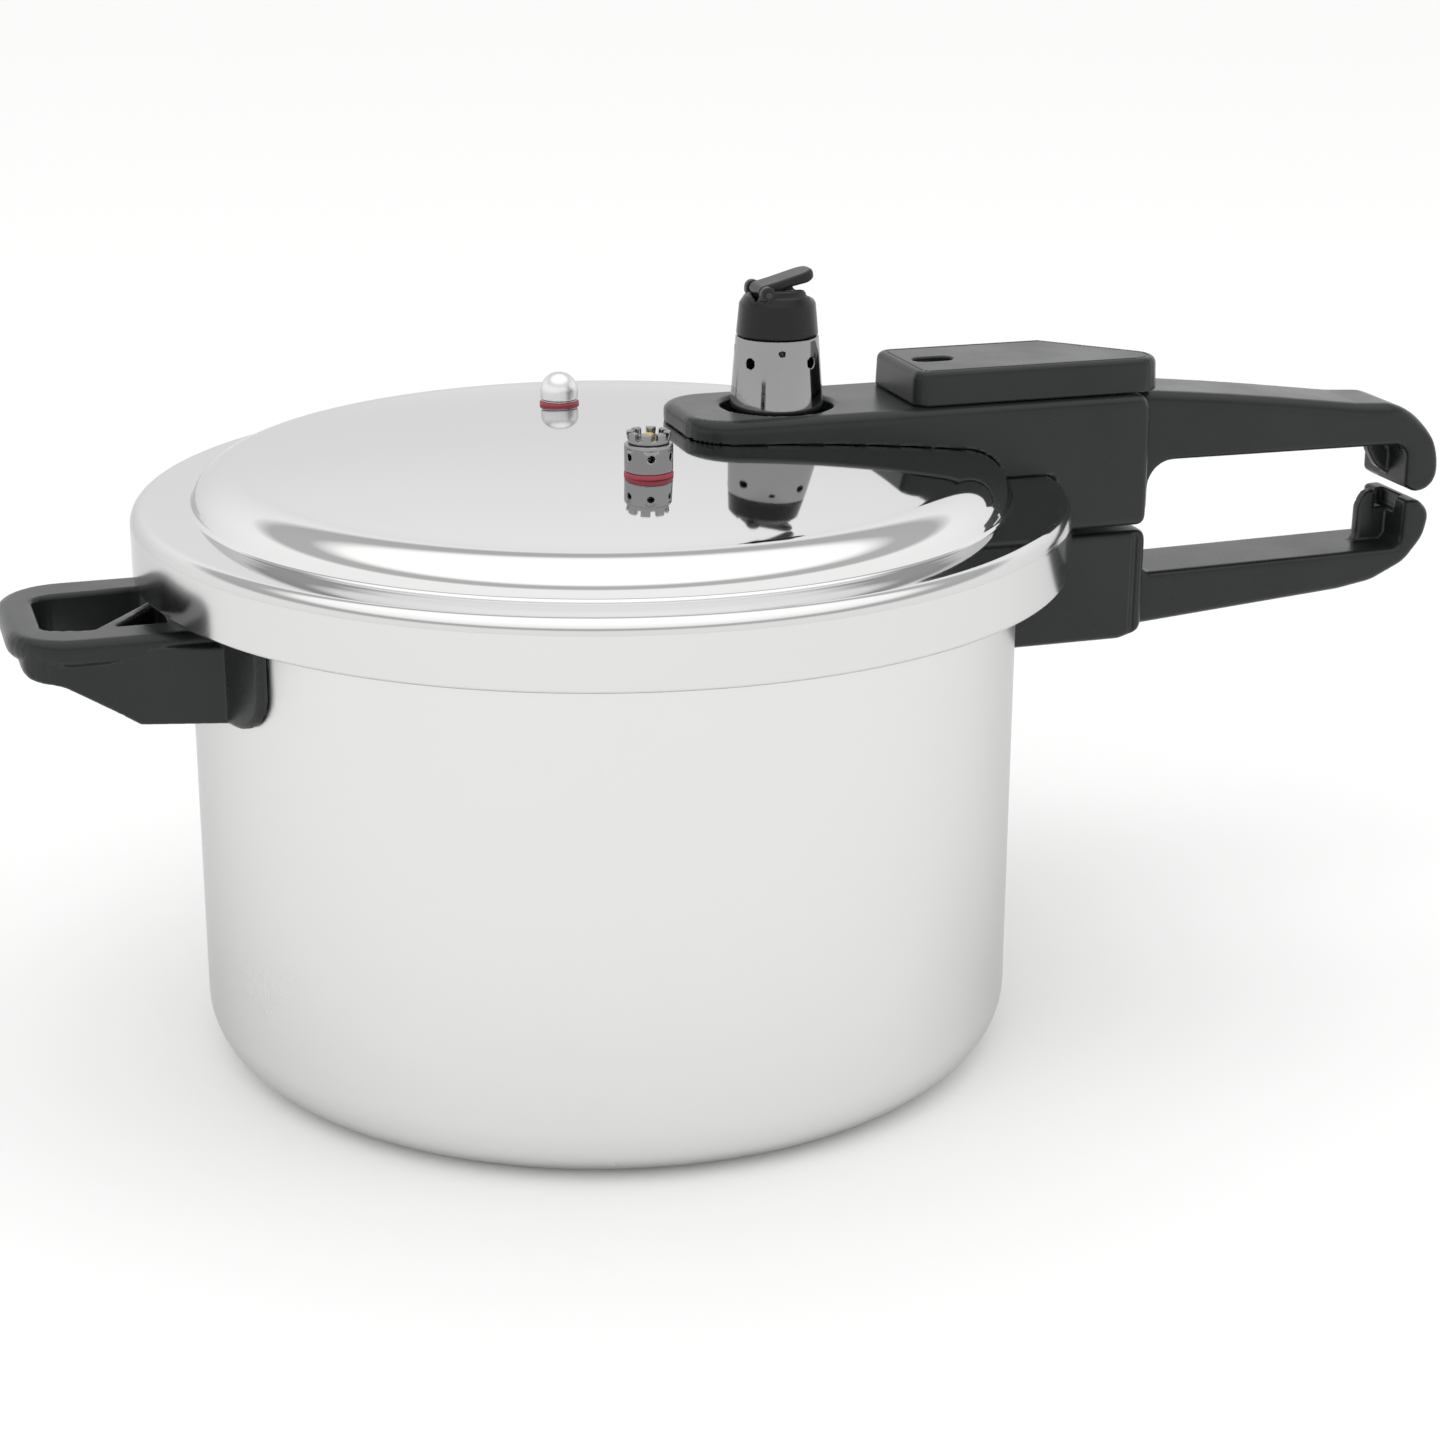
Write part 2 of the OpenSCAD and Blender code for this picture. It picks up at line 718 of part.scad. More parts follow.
module indicator_bush() {
    color("silver") translate([0, indicator_y, 0]) difference() {
        union() {
            translate([0, 0, indicator_z - 9]) cylinder(r = stem_r, h = 10.4);
            translate([0, 0, indicator_low]) cylinder(r = 5.6, h = 0.5);
        }
        translate([0, 0, indicator_z - 10]) cylinder(r = 1.6, h = 20);
    }
}

module indicator_gasket() {
    color("firebrick") seat_ring(0, indicator_y, indicator_z - 0.4, 1.5, 6.1);
}

module indicator_nut() {
    color("silver") stem_nut(0, indicator_y, lid_z(indicator_y + 7) - lid_wall, 3.5);
}

module indicator_dome() {
    low = indicator_low + 0.6;
    dome_r = 5.8;
    color("gainsboro") translate([0, indicator_y, 0]) {
        translate([0, 0, low]) cylinder(r = dome_r, h = 2.5);
        translate([0, 0, low + 2.5]) intersection() {
            sphere(r = dome_r);
            cylinder(r = dome_r + 1, h = dome_r + 1);
        }
        translate([0, 0, indicator_z - 16]) cylinder(r = 1.5, h = low - indicator_z + 16.5);
    }
}

module indicator_clip() {
    color("silver") translate([0, indicator_y, indicator_z - 14.5]) difference() {
        cylinder(r = 3.2, h = 1);
        translate([0, 0, -1]) cylinder(r = 1.5, h = 3);
    }
}

pot_body();
pot_handle_bracket();
pot_handle();
lock_bush();
helper_bracket();
helper_handle();
handle_screws();
gasket();
lid_shell();
lid_handle();
handle_cover();
cover_screws();
lid_handle_screws();
lid_handle_washers();
vent_pipe();
vent_washer();
vent_nut();
vent_strainer();
weight_body();
weight_needle();
weight_cap();
weight_tab_pin();
weight_tab();
lock_slide();
lock_bolt();
lock_spring();
relief_body();
relief_gasket();
relief_nut();
relief_crown();
relief_plunger();
relief_spring();
indicator_bush();
indicator_gasket();
indicator_nut();
indicator_dome();
indicator_clip();
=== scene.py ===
import math

import bmesh
import bpy
import numpy as np
from mathutils import Matrix, Vector


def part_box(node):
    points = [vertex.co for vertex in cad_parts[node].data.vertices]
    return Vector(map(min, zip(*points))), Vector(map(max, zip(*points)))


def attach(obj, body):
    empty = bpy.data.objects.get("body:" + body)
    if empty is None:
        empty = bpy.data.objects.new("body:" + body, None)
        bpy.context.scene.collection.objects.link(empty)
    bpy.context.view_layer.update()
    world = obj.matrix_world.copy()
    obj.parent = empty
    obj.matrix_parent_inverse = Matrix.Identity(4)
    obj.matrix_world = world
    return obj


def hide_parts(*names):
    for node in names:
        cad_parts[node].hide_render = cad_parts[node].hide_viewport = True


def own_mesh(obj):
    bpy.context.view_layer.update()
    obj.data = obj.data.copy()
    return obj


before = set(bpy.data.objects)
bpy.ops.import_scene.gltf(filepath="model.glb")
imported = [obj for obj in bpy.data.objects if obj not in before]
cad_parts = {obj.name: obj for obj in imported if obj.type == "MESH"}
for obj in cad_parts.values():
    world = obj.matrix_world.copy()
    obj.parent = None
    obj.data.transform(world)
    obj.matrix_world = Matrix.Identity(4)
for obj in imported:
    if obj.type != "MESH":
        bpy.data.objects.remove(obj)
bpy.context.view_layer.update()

# All shapes below are worked out in millimetres and turned into metres when their mesh is made.
perMetre = 1000.0


def boxOf(nodeName):
    low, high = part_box(nodeName)
    return [v * perMetre for v in low], [v * perMetre for v in high]


def middleOf(nodeName):
    low, high = boxOf(nodeName)
    return [(a + b) / 2 for a, b in zip(low, high)]


def footOf(nodeName):
    return boxOf(nodeName)[0][2]


def topOf(nodeName):
    return boxOf(nodeName)[1][2]


# places that come from the frame
rimZ = topOf("pot_body")
lugR = boxOf("pot_body")[1][1]
lidR = boxOf("lid_shell")[1][0]
skirtZ = footOf("lid_shell")
crownZ = topOf("lid_shell")
armTop = topOf("lid_handle")
neckLow = footOf("lid_handle")
gripEnd = boxOf("lid_handle")[1][0]
noseX = boxOf("lid_handle")[0][0]
blockLow = footOf("pot_handle")
coverTop = topOf("handle_cover")
helperEnd = -boxOf("helper_handle")[0][0]
ventX = middleOf("vent_pipe")[0]
reliefY = -middleOf("relief_body")[1]
indicatorY = middleOf("indicator_bush")[1]
weightLow, weightMid = footOf("weight_body"), topOf("weight_body")


# ---- camera, floor and light ----

shot = {
    "azimuth": -18.0, "elevation": 18.43, "roll": 0.22,  # degrees
    "distance": 0.9, "lens": 73.88, "lookAt": (0.0331, -0.01076, 0.09583),
}


def makeCamera():
    data = bpy.data.cameras.new("viewCamera")
    cam = bpy.data.objects.new("viewCamera", data)
    bpy.context.scene.collection.objects.link(cam)
    tilt = math.radians(shot["elevation"])
    back = Vector((0, -math.cos(tilt), math.sin(tilt)))
    back.rotate(Matrix.Rotation(math.radians(shot["azimuth"]), 3, "Z"))
    side = Vector((0, 0, 1)).cross(back).normalized()
    turn = Matrix.Rotation(math.radians(shot["roll"]), 3, back)
    side = turn @ side
    up = back.cross(side)
    place = Vector(shot["lookAt"]) + back * shot["distance"]
    cam.matrix_world = Matrix((
        (side.x, up.x, back.x, place.x), (side.y, up.y, back.y, place.y),
        (side.z, up.z, back.z, place.z), (0, 0, 0, 1),
    ))
    data.sensor_width = 36
    data.lens = shot["lens"]
    data.clip_start = 0.01
    bpy.context.scene.camera = cam


def softBox(name, place, size, power):
    data = bpy.data.lights.new(name, "AREA")
    data.shape = "RECTANGLE"
    data.size = data.size_y = size
    data.energy = power
    lamp = bpy.data.objects.new(name, data)
    bpy.context.scene.collection.objects.link(lamp)
    lamp.location = place
    lamp.visible_glossy = False  # the soft walls make the reflections
    lamp.rotation_euler = (Vector(studio["lampsAim"]) - Vector(place)).to_track_quat("-Z", "Y").to_euler()


studio = {
    "floorSize": 14.0, "floorColour": (0.93, 0.93, 0.925), "airStrength": 1.0,
    # sine of the height above the horizon, then how bright the studio is there
    "walls": [(0.0, 1.0), (0.50, 1.04), (0.57, 0.52), (0.69, 0.52), (0.77, 1.2), (1.0, 1.4)],
    "lamps": {"keyLight": ((-1.1, -1.3, 1.9), 1.9, 10), "fillLight": ((1.5, -0.9, 1.5), 1.2, 3)},
    "lampsAim": (0, 0, 0.1),
}


def makeStudio():
    bpy.context.scene.view_settings.view_transform = "Standard"
    mesh = bpy.data.meshes.new("studioFloor")
    half = studio["floorSize"] / 2
    mesh.from_pydata([(-half, -half, 0), (half, -half, 0), (half, half, 0), (-half, half, 0)], [], [(0, 1, 2, 3)])
    floor = bpy.data.objects.new("studioFloor", mesh)
    bpy.context.scene.collection.objects.link(floor)
    paint = bpy.data.materials.new("paleFloor")
    paint.use_nodes = True
    matt = paint.node_tree.nodes["Principled BSDF"].inputs
    matt["Base Color"].default_value = (*studio["floorColour"], 1)
    matt["Roughness"].default_value = 0.9
    matt["Specular IOR Level"].default_value = 0.0
    mesh.materials.append(paint)

    air = bpy.data.worlds.new("studioAir")
    bpy.context.scene.world = air
    air.use_nodes = True
    nodes, links = air.node_tree.nodes, air.node_tree.links
    place = nodes.new("ShaderNodeTexCoord")
    split = nodes.new("ShaderNodeSeparateXYZ")
    ramp = nodes.new("ShaderNodeValToRGB")
    links.new(place.outputs["Generated"], split.inputs[0])
    links.new(split.outputs["Z"], ramp.inputs[0])
    links.new(ramp.outputs[0], nodes["Background"].inputs["Color"])
    nodes["Background"].inputs["Strength"].default_value = studio["airStrength"]
    while len(ramp.color_ramp.elements) < len(studio["walls"]):
        ramp.color_ramp.elements.new(0.5)
    for stop, (height, level) in zip(ramp.color_ramp.elements, studio["walls"]):
        stop.position = height
        stop.color = (level, level, level, 1)

    for name, lamp in studio["lamps"].items():
        softBox(name, *lamp)


makeCamera()
makeStudio()
print("studio ready")


# ---- finishes ----

def newGroup(name, inputs, outputs):
    group = bpy.data.node_groups.new(name, "ShaderNodeTree")
    for label, kind, value in inputs:
        socket = group.interface.new_socket(label, in_out="INPUT", socket_type=kind)
        if value is not None:
            socket.default_value = value
    for label in outputs:
        group.interface.new_socket(label, in_out="OUTPUT", socket_type="NodeSocketFloat")
    return group, group.nodes.new("NodeGroupInput"), group.nodes.new("NodeGroupOutput")


def feed(tree, made, inputs):
    # each input takes a link or a plain value
    for key, value in inputs.items():
        if isinstance(value, bpy.types.NodeSocket):
            tree.links.new(value, made.inputs[key])
        else:
            made.inputs[key].default_value = value


def node(tree, kind, inputs=None, **settings):
    made = tree.nodes.new(kind)
    for key, value in settings.items():
        setattr(made, key, value)
    feed(tree, made, inputs or {})
    return made


def flow(tree, kind, inputs=None, **settings):
    return node(tree, kind, inputs, **settings).outputs[0]


def calc(tree, operation, *values):
    return flow(tree, "ShaderNodeMath", dict(enumerate(values)), operation=operation)


def makeSpunLines():
    # rings left by turning and polishing, one height for each radius and each level
    group, entry, leave = newGroup("spunLines", [
        ("Vector", "NodeSocketVector", None), ("Lines", "NodeSocketFloat", 900.0),
        ("Waver", "NodeSocketFloat", 0.4),
    ], ["Height", "Haze", "Radius"])
    x, y, z = node(group, "ShaderNodeSeparateXYZ", {0: entry.outputs["Vector"]}).outputs
    radius = calc(group, "SQRT", calc(group, "MULTIPLY_ADD", y, y, calc(group, "MULTIPLY", x, x)))
    bend = calc(group, "MULTIPLY", calc(group, "ARCTAN2", y, x), 0.002)
    fine = node(group, "ShaderNodeTexNoise", {
        "Vector": flow(group, "ShaderNodeCombineXYZ", {0: radius, 1: z, 2: bend}),
        "Scale": entry.outputs["Lines"], "Detail": 3.0, "Roughness": 0.6})
    broad = node(group, "ShaderNodeTexNoise", {
        "Vector": entry.outputs["Vector"], "Scale": 9.0, "Detail": 4.0, "Roughness": 0.55}).outputs["Fac"]
    height = calc(group, "MULTIPLY_ADD", broad, entry.outputs["Waver"], fine.outputs["Fac"])
    feed(group, leave, {"Height": height, "Haze": broad, "Radius": radius})
    return group


def makeMouldGrain():
    # the fine matt texture of a plastic mould, and softer clouds where hands have polished it
    group, entry, leave = newGroup("mouldGrain", [
        ("Vector", "NodeSocketVector", None), ("Grain", "NodeSocketFloat", 1800.0),
        ("Clouds", "NodeSocketFloat", 35.0),
    ], ["Height", "Polish"])
    grain = node(group, "ShaderNodeTexNoise", {
        "Vector": entry.outputs["Vector"], "Scale": entry.outputs["Grain"], "Detail": 2.0})
    pits = node(group, "ShaderNodeTexVoronoi", {
        "Vector": entry.outputs["Vector"], "Scale": entry.outputs["Grain"]})
    clouds = node(group, "ShaderNodeTexNoise", {
        "Vector": entry.outputs["Vector"], "Scale": entry.outputs["Clouds"], "Detail": 5.0, "Roughness": 0.6})
    height = calc(group, "MULTIPLY_ADD", pits.outputs["Distance"], 0.5, grain.outputs["Fac"])
    feed(group, leave, {"Height": height, "Polish": clouds.outputs["Fac"]})
    return group


def makeFineScratches():
    # short hairlines in two directions, as a cloth leaves on polished metal
    group, entry, leave = newGroup("fineScratches", [
        ("Vector", "NodeSocketVector", None), ("Density", "NodeSocketFloat", 60.0),
    ], ["Mask"])
    marks = []
    for angle in (0.5, -0.9):
        slanting = flow(group, "ShaderNodeMapping", {
            "Vector": entry.outputs["Vector"], "Rotation": (0.3, 0.2, angle), "Scale": (1.0, 26.0, 1.0)})
        streak = node(group, "ShaderNodeTexNoise", {
            "Vector": slanting, "Scale": entry.outputs["Density"], "Detail": 2.0})
        marks.append(flow(group, "ShaderNodeMapRange", {
            "Value": streak.outputs["Fac"], "From Min": 0.62, "From Max": 0.72}))
    feed(group, leave, {"Mask": calc(group, "MAXIMUM", *marks)})
    return group


spunLines, mouldGrain, fineScratches = makeSpunLines(), makeMouldGrain(), makeFineScratches()


def blankFinish(name, roughness, metallic):
    paint = bpy.data.materials.new(name)
    paint.use_nodes = True
    tree = paint.node_tree
    shader = tree.nodes["Principled BSDF"]
    feed(tree, shader, {"Metallic": metallic, "Roughness": roughness})
    spot = tree.nodes.new("ShaderNodeTexCoord")
    return paint, tree, shader, spot.outputs["Object"]


def mixColour(tree, mask, low, high):
    low, high = [c if isinstance(c, bpy.types.NodeSocket) else (*c, 1) for c in (low, high)]
    # sockets 6 and 7 take the colours, and output 2 gives their mix
    return node(tree, "ShaderNodeMix", {"Factor": mask, 6: low, 7: high}, data_type="RGBA").outputs[2]


def spanOf(tree, value, low, high, fromLow=0.3, fromHigh=0.7):
    return flow(tree, "ShaderNodeMapRange", {
        "Value": value, "From Min": fromLow, "From Max": fromHigh, "To Min": low, "To Max": high})


def turnedMetal(name, look):
    paint, tree, shader, spot = blankFinish(name, look["rough"][0], 1.0)
    lines = node(tree, "ShaderNodeGroup", {"Vector": spot, "Lines": look["lines"], "Waver": look["waver"]},
                 node_tree=spunLines).outputs
    marks = flow(tree, "ShaderNodeGroup", {"Vector": spot}, node_tree=fineScratches)
    colour = mixColour(tree, lines["Haze"], look["low"], look["high"])
    rough = spanOf(tree, lines["Haze"], *look["rough"])
    if "skirt" in look:
        # the polish gives way to a duller satin finish beyond the given radius
        start, dull, grey = look["skirt"]
        beyond = spanOf(tree, lines["Radius"], 0, 1, start - 0.001, start + 0.001)
        rough = calc(tree, "MULTIPLY_ADD", beyond, dull, rough)
        colour = mixColour(tree, beyond, colour, grey)
    bump = flow(tree, "ShaderNodeBump", {
        "Strength": look["bump"], "Distance": 0.0001, "Height": lines["Height"]})
    feed(tree, shader, {
        "Base Color": colour, "Roughness": calc(tree, "MULTIPLY_ADD", marks, look["scratch"], rough),
        "Normal": bump, "Specular Tint": (*look["rim"], 1)})
    return paint


def mouldedPlastic(name, look):
    paint, tree, shader, spot = blankFinish(name, look["rough"][0], 0.0)
    grain = node(tree, "ShaderNodeGroup", {"Vector": spot, "Grain": look["grain"]}, node_tree=mouldGrain).outputs
    # painted highlight: the convex edges take the lighter edge colour, patchy where the polish clouds fall
    edge = node(tree, "ShaderNodeAttribute", attribute_name="edge").outputs["Fac"]
    clouded = mixColour(tree, spanOf(tree, grain["Polish"], 0, 1), look["low"], look["high"])
    paintedEdgeHighlight = calc(tree, "MULTIPLY", edge, grain["Polish"])
    bump = flow(tree, "ShaderNodeBump", {
        "Strength": look["bump"], "Distance": 0.00012, "Height": grain["Height"]})
    feed(tree, shader, {
        "Base Color": mixColour(tree, paintedEdgeHighlight, clouded, look["edge"]),
        "Roughness": spanOf(tree, grain["Polish"], *look["rough"]),
        "Normal": bump, "Specular IOR Level": look["gloss"]})
    return paint


metalLooks = {
    "satinAluminium": dict(low=(0.72, 0.72, 0.71), high=(0.77, 0.77, 0.76), rough=(0.26, 0.36),
                           lines=2600, waver=0.15, bump=0.03, scratch=0.012, rim=(0.72, 0.72, 0.73)),
    "mirrorAluminium": dict(low=(0.80, 0.80, 0.795), high=(0.84, 0.84, 0.835), rough=(0.035, 0.06),
                            lines=1500, waver=0.1, bump=0.012, scratch=0.015, rim=(0.75, 0.75, 0.76),
                            skirt=(0.1365, 0.10, (0.70, 0.70, 0.695))),
    "chromePlate": dict(low=(0.30, 0.30, 0.303), high=(0.35, 0.35, 0.353), rough=(0.04, 0.09),
                        lines=2000, waver=0.2, bump=0.01, scratch=0.08, rim=(0.8, 0.8, 0.8)),
    "plainSteel": dict(low=(0.48, 0.48, 0.48), high=(0.58, 0.58, 0.57), rough=(0.22, 0.34),
                       lines=3000, waver=0.2, bump=0.06, scratch=0.1, rim=(0.8, 0.8, 0.8)),
    "blackSteel": dict(low=(0.05, 0.05, 0.05), high=(0.08, 0.08, 0.08), rough=(0.3, 0.4),
                       lines=3000, waver=0.2, bump=0.05, scratch=0.1, rim=(0.6, 0.6, 0.6)),
    "yellowBrass": dict(low=(0.62, 0.45, 0.18), high=(0.72, 0.54, 0.24), rough=(0.2, 0.3),
                        lines=3000, waver=0.2, bump=0.05, scratch=0.1, rim=(0.9, 0.85, 0.7)),
    "paleDome": dict(low=(0.84, 0.84, 0.84), high=(0.90, 0.90, 0.90), rough=(0.34, 0.42),
                     lines=3000, waver=0.2, bump=0.03, scratch=0.05, rim=(0.6, 0.6, 0.6)),
}
# edge is the colour of a painted highlight along the convex edges
plasticLooks = {
    "charcoalPlastic": dict(low=(0.010, 0.012, 0.0115), high=(0.014, 0.016, 0.0155), edge=(0.045, 0.047, 0.045),
                            rough=(0.24, 0.34), grain=2200, bump=0.14, gloss=0.34),
    "capPlastic": dict(low=(0.006, 0.0065, 0.0065), high=(0.009, 0.0095, 0.0095), edge=(0.035, 0.035, 0.035),
                       rough=(0.24, 0.34), grain=2600, bump=0.12, gloss=0.3),
    "slidePlastic": dict(low=(0.004, 0.004, 0.004), high=(0.006, 0.006, 0.006), edge=(0.01, 0.01, 0.01),
                         rough=(0.6, 0.7), grain=2600, bump=0.1, gloss=0.15),
    "redSilicone": dict(low=(0.30, 0.035, 0.055), high=(0.36, 0.045, 0.065), edge=(0.4, 0.08, 0.1),
                        rough=(0.42, 0.55), grain=3000, bump=0.08, gloss=0.45),
    "greyRubber": dict(low=(0.10, 0.10, 0.10), high=(0.13, 0.13, 0.13), edge=(0.16, 0.16, 0.16),
                       rough=(0.55, 0.7), grain=3000, bump=0.12, gloss=0.4),
}
finishes = {name: turnedMetal(name, look) for name, look in metalLooks.items()}
finishes.update({name: mouldedPlastic(name, look) for name, look in plasticLooks.items()})
print("finishes:", ", ".join(finishes))


# ---- mesh helpers ----

def newObject(name, mesh):
    made = bpy.data.objects.new(name, mesh)
    bpy.context.scene.collection.objects.link(made)
    return made


def settle(made):
    # the evaluated shape takes the place of the modifiers
    dg = bpy.context.evaluated_depsgraph_get()
    mesh = bpy.data.meshes.new_from_object(made.evaluated_get(dg), depsgraph=dg)
    made.modifiers.clear()
    old, made.data = made.data, mesh
    bpy.data.meshes.remove(old)
    return made


def growTree(made, tree, **inputs):
    grow = made.modifiers.new(tree.name, "NODES")
    grow.node_group = tree
    for item in tree.interface.items_tree:
        if item.item_type == "SOCKET" and item.in_out == "INPUT" and item.name in inputs:
            grow[item.identifier] = inputs[item.name]
    return settle(made)


def cleanShell(made, sharpAngle=32, weighted=True):
    # welds the mesh, turns its faces outwards and keeps only real edges sharp
    shell = bmesh.new()
    shell.from_mesh(made.data)
    bmesh.ops.remove_doubles(shell, verts=shell.verts, dist=2e-6)
    bmesh.ops.dissolve_degenerate(shell, edges=shell.edges, dist=1e-7)
    bmesh.ops.recalc_face_normals(shell, faces=shell.faces)
    for face in shell.faces:
        face.smooth = True
    for edge in shell.edges:
        edge.smooth = edge.calc_face_angle(0) < math.radians(sharpAngle)
    shell.to_mesh(made.data)
    shell.free()
    if weighted:
        lean = made.modifiers.new("lean", "WEIGHTED_NORMAL")
        lean.keep_sharp = True
        lean.weight = 50
        settle(made)
    return made


def cutWith(made, cutter, operation="DIFFERENCE"):
    cut = made.modifiers.new("cut", "BOOLEAN")
    cut.operation = operation
    cut.solver = "EXACT"
    cut.object = cutter
    settle(made)
    mesh = cutter.data
    bpy.data.objects.remove(cutter)
    bpy.data.meshes.remove(mesh)
    return made


def place(made, body, nodeName, slot):
    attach(made, body)
    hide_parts(nodeName)
    return made


def arcOf(cx, cy, r, start, end, steps=8):
    return [(cx + r * math.cos(math.radians(start + (end - start) * i / steps)),
             cy + r * math.sin(math.radians(start + (end - start) * i / steps))) for i in range(steps + 1)]


def roundedLine(points, closed=False, steps=6):
    # points are (u, v, radius); each corner becomes an arc of its radius
    line, count = [], len(points)
    for i, (u, v, r) in enumerate(points):
        if r <= 0 or (not closed and i in (0, count - 1)):
            line.append((u, v))
            continue
        here = Vector((u, v))
        back = Vector(points[i - 1][:2]) - here
        ahead = Vector(points[(i + 1) % count][:2]) - here
        half = back.angle(ahead) / 2
        reach = min(r / math.tan(half), back.length * 0.499, ahead.length * 0.499)
        r = reach * math.tan(half)
        start, end = here + back.normalized() * reach, here + ahead.normalized() * reach
        centre = here + (back.normalized() + ahead.normalized()).normalized() * (r / math.sin(half))
        a, b = start - centre, end - centre
        sweep = a.angle_signed(b)
        for k in range(steps + 1):
            turned = a.copy()
            turned.rotate(Matrix.Rotation(-sweep * k / steps, 2))
            line.append(tuple(centre + turned))
    return line


# ---- geometry node trees ----

def newTree(name, inputs):
    tree = bpy.data.node_groups.new(name, "GeometryNodeTree")
    tree.interface.new_socket("Geometry", in_out="INPUT", socket_type="NodeSocketGeometry")
    for label, kind, value in inputs:
        socket = tree.interface.new_socket(label, in_out="INPUT", socket_type=kind)
        if value is not None:
            socket.default_value = value
    tree.interface.new_socket("Geometry", in_out="OUTPUT", socket_type="NodeSocketGeometry")
    return tree, tree.nodes.new("NodeGroupInput"), tree.nodes.new("NodeGroupOutput")


def endTree(tree, entry, leave, shape):
    real = flow(tree, "GeometryNodeRealizeInstances", {0: shape})
    painted = flow(tree, "GeometryNodeSetMaterial", {"Geometry": real, "Material": entry.outputs["Finish"]})
    tree.links.new(painted, leave.inputs[0])


def makeTurnTree():
    # turns the outline drawn in X and Z about the Z axis of Centre X, Centre Y
    tree, entry, leave = newTree("turnedProfile", [
        ("Segments", "NodeSocketInt", 96), ("Centre", "NodeSocketVector", (0, 0, 0)),
        ("Finish", "NodeSocketMaterial", None),
    ])
    reach = 0.05  # any circle will do, as the outline is moved back by as much
    x, _, z = node(tree, "ShaderNodeSeparateXYZ", {0: flow(tree, "GeometryNodeInputPosition")}).outputs
    flat = flow(tree, "ShaderNodeCombineXYZ", {
        0: calc(tree, "SUBTRACT", x, reach), 1: calc(tree, "MULTIPLY", z, -1.0)})
    laid = flow(tree, "GeometryNodeSetPosition", {"Geometry": entry.outputs["Geometry"], "Position": flat})
    outline = flow(tree, "GeometryNodeMeshToCurve", {"Mesh": laid})
    ring = flow(tree, "GeometryNodeCurvePrimitiveCircle", {
        "Resolution": entry.outputs["Segments"], "Radius": reach})
    upright = flow(tree, "GeometryNodeSetCurveNormal", {"Curve": ring}, mode="Z_UP")
    skin = flow(tree, "GeometryNodeCurveToMesh", {"Curve": upright, "Profile Curve": outline})
    endTree(tree, entry, leave, flow(tree, "GeometryNodeTransform", {
        "Geometry": skin, "Translation": entry.outputs["Centre"]}))
    return tree


turnTree = makeTurnTree()


def turned(name, outline, finish, centre=(0, 0), segments=96, closed=False, sharpAngle=32, weighted=True):
    # outline is (radius, height) in mm; an open one starts and ends on the axis
    points = [(r / perMetre, 0, z / perMetre) for r, z in outline]
    edges = [(i, i + 1) for i in range(len(points) - 1)] + ([(len(points) - 1, 0)] if closed else [])
    mesh = bpy.data.meshes.new(name)
    mesh.from_pydata(points, edges, [])
    made = growTree(newObject(name, mesh), turnTree, Segments=segments, Finish=finishes[finish],
                    Centre=(centre[0] / perMetre, centre[1] / perMetre, 0))
    return cleanShell(made, sharpAngle, weighted)


def makeCoilTree():
    # a helical spring with closed flat ends
    tree, entry, leave = newTree("coilSpring", [
        ("Turns", "NodeSocketFloat", 6.0), ("Radius", "NodeSocketFloat", 0.004),
        ("Height", "NodeSocketFloat", 0.01), ("Wire", "NodeSocketFloat", 0.0004),
        ("Foot", "NodeSocketVector", (0, 0, 0)), ("Finish", "NodeSocketMaterial", None),
    ])
    coil = flow(tree, "GeometryNodeCurveSpiral", {
        "Resolution": 28, "Rotations": entry.outputs["Turns"], "Start Radius": entry.outputs["Radius"],
        "End Radius": entry.outputs["Radius"], "Height": entry.outputs["Height"]})
    wire = flow(tree, "GeometryNodeCurvePrimitiveCircle", {"Resolution": 10, "Radius": entry.outputs["Wire"]})
    tube = flow(tree, "GeometryNodeCurveToMesh", {"Curve": coil, "Profile Curve": wire, "Fill Caps": True})
    endTree(tree, entry, leave, flow(tree, "GeometryNodeTransform", {
        "Geometry": tube, "Translation": entry.outputs["Foot"]}))
    return tree


def makeRingTree():
    # repeats the given solid round an upright axis and joins the copies to the base, or cuts them from it
    tree, entry, leave = newTree("ringOfCopies", [
        ("Copy", "NodeSocketObject", None), ("Count", "NodeSocketInt", 6), ("First", "NodeSocketFloat", 0.0),
        ("Centre", "NodeSocketVector", (0, 0, 0)), ("Cut", "NodeSocketBool", False),
        ("Finish", "NodeSocketMaterial", None),
    ])
    copy = node(tree, "GeometryNodeObjectInfo", {"Object": entry.outputs["Copy"]}).outputs["Geometry"]
    dots = flow(tree, "GeometryNodePoints", {"Count": entry.outputs["Count"], "Position": entry.outputs["Centre"]})
    angle = calc(tree, "MULTIPLY_ADD", flow(tree, "GeometryNodeInputIndex"),
                 calc(tree, "DIVIDE", math.tau, entry.outputs["Count"]), entry.outputs["First"])
    ring = flow(tree, "GeometryNodeInstanceOnPoints", {
        "Points": dots, "Instance": copy, "Rotation": flow(tree, "ShaderNodeCombineXYZ", {2: angle})})
    copies = flow(tree, "GeometryNodeRealizeInstances", {0: ring})
    joined = node(tree, "GeometryNodeMeshBoolean", operation="UNION", solver="EXACT")
    tree.links.new(entry.outputs["Geometry"], joined.inputs["Mesh 2"])
    tree.links.new(copies, joined.inputs["Mesh 2"])
    cut = flow(tree, "GeometryNodeMeshBoolean", {"Mesh 1": entry.outputs["Geometry"], "Mesh 2": copies},
               operation="DIFFERENCE", solver="EXACT")
    endTree(tree, entry, leave, flow(tree, "GeometryNodeSwitch", {
        "Switch": entry.outputs["Cut"], "False": joined.outputs[0], "True": cut}, input_type="GEOMETRY"))
    return tree


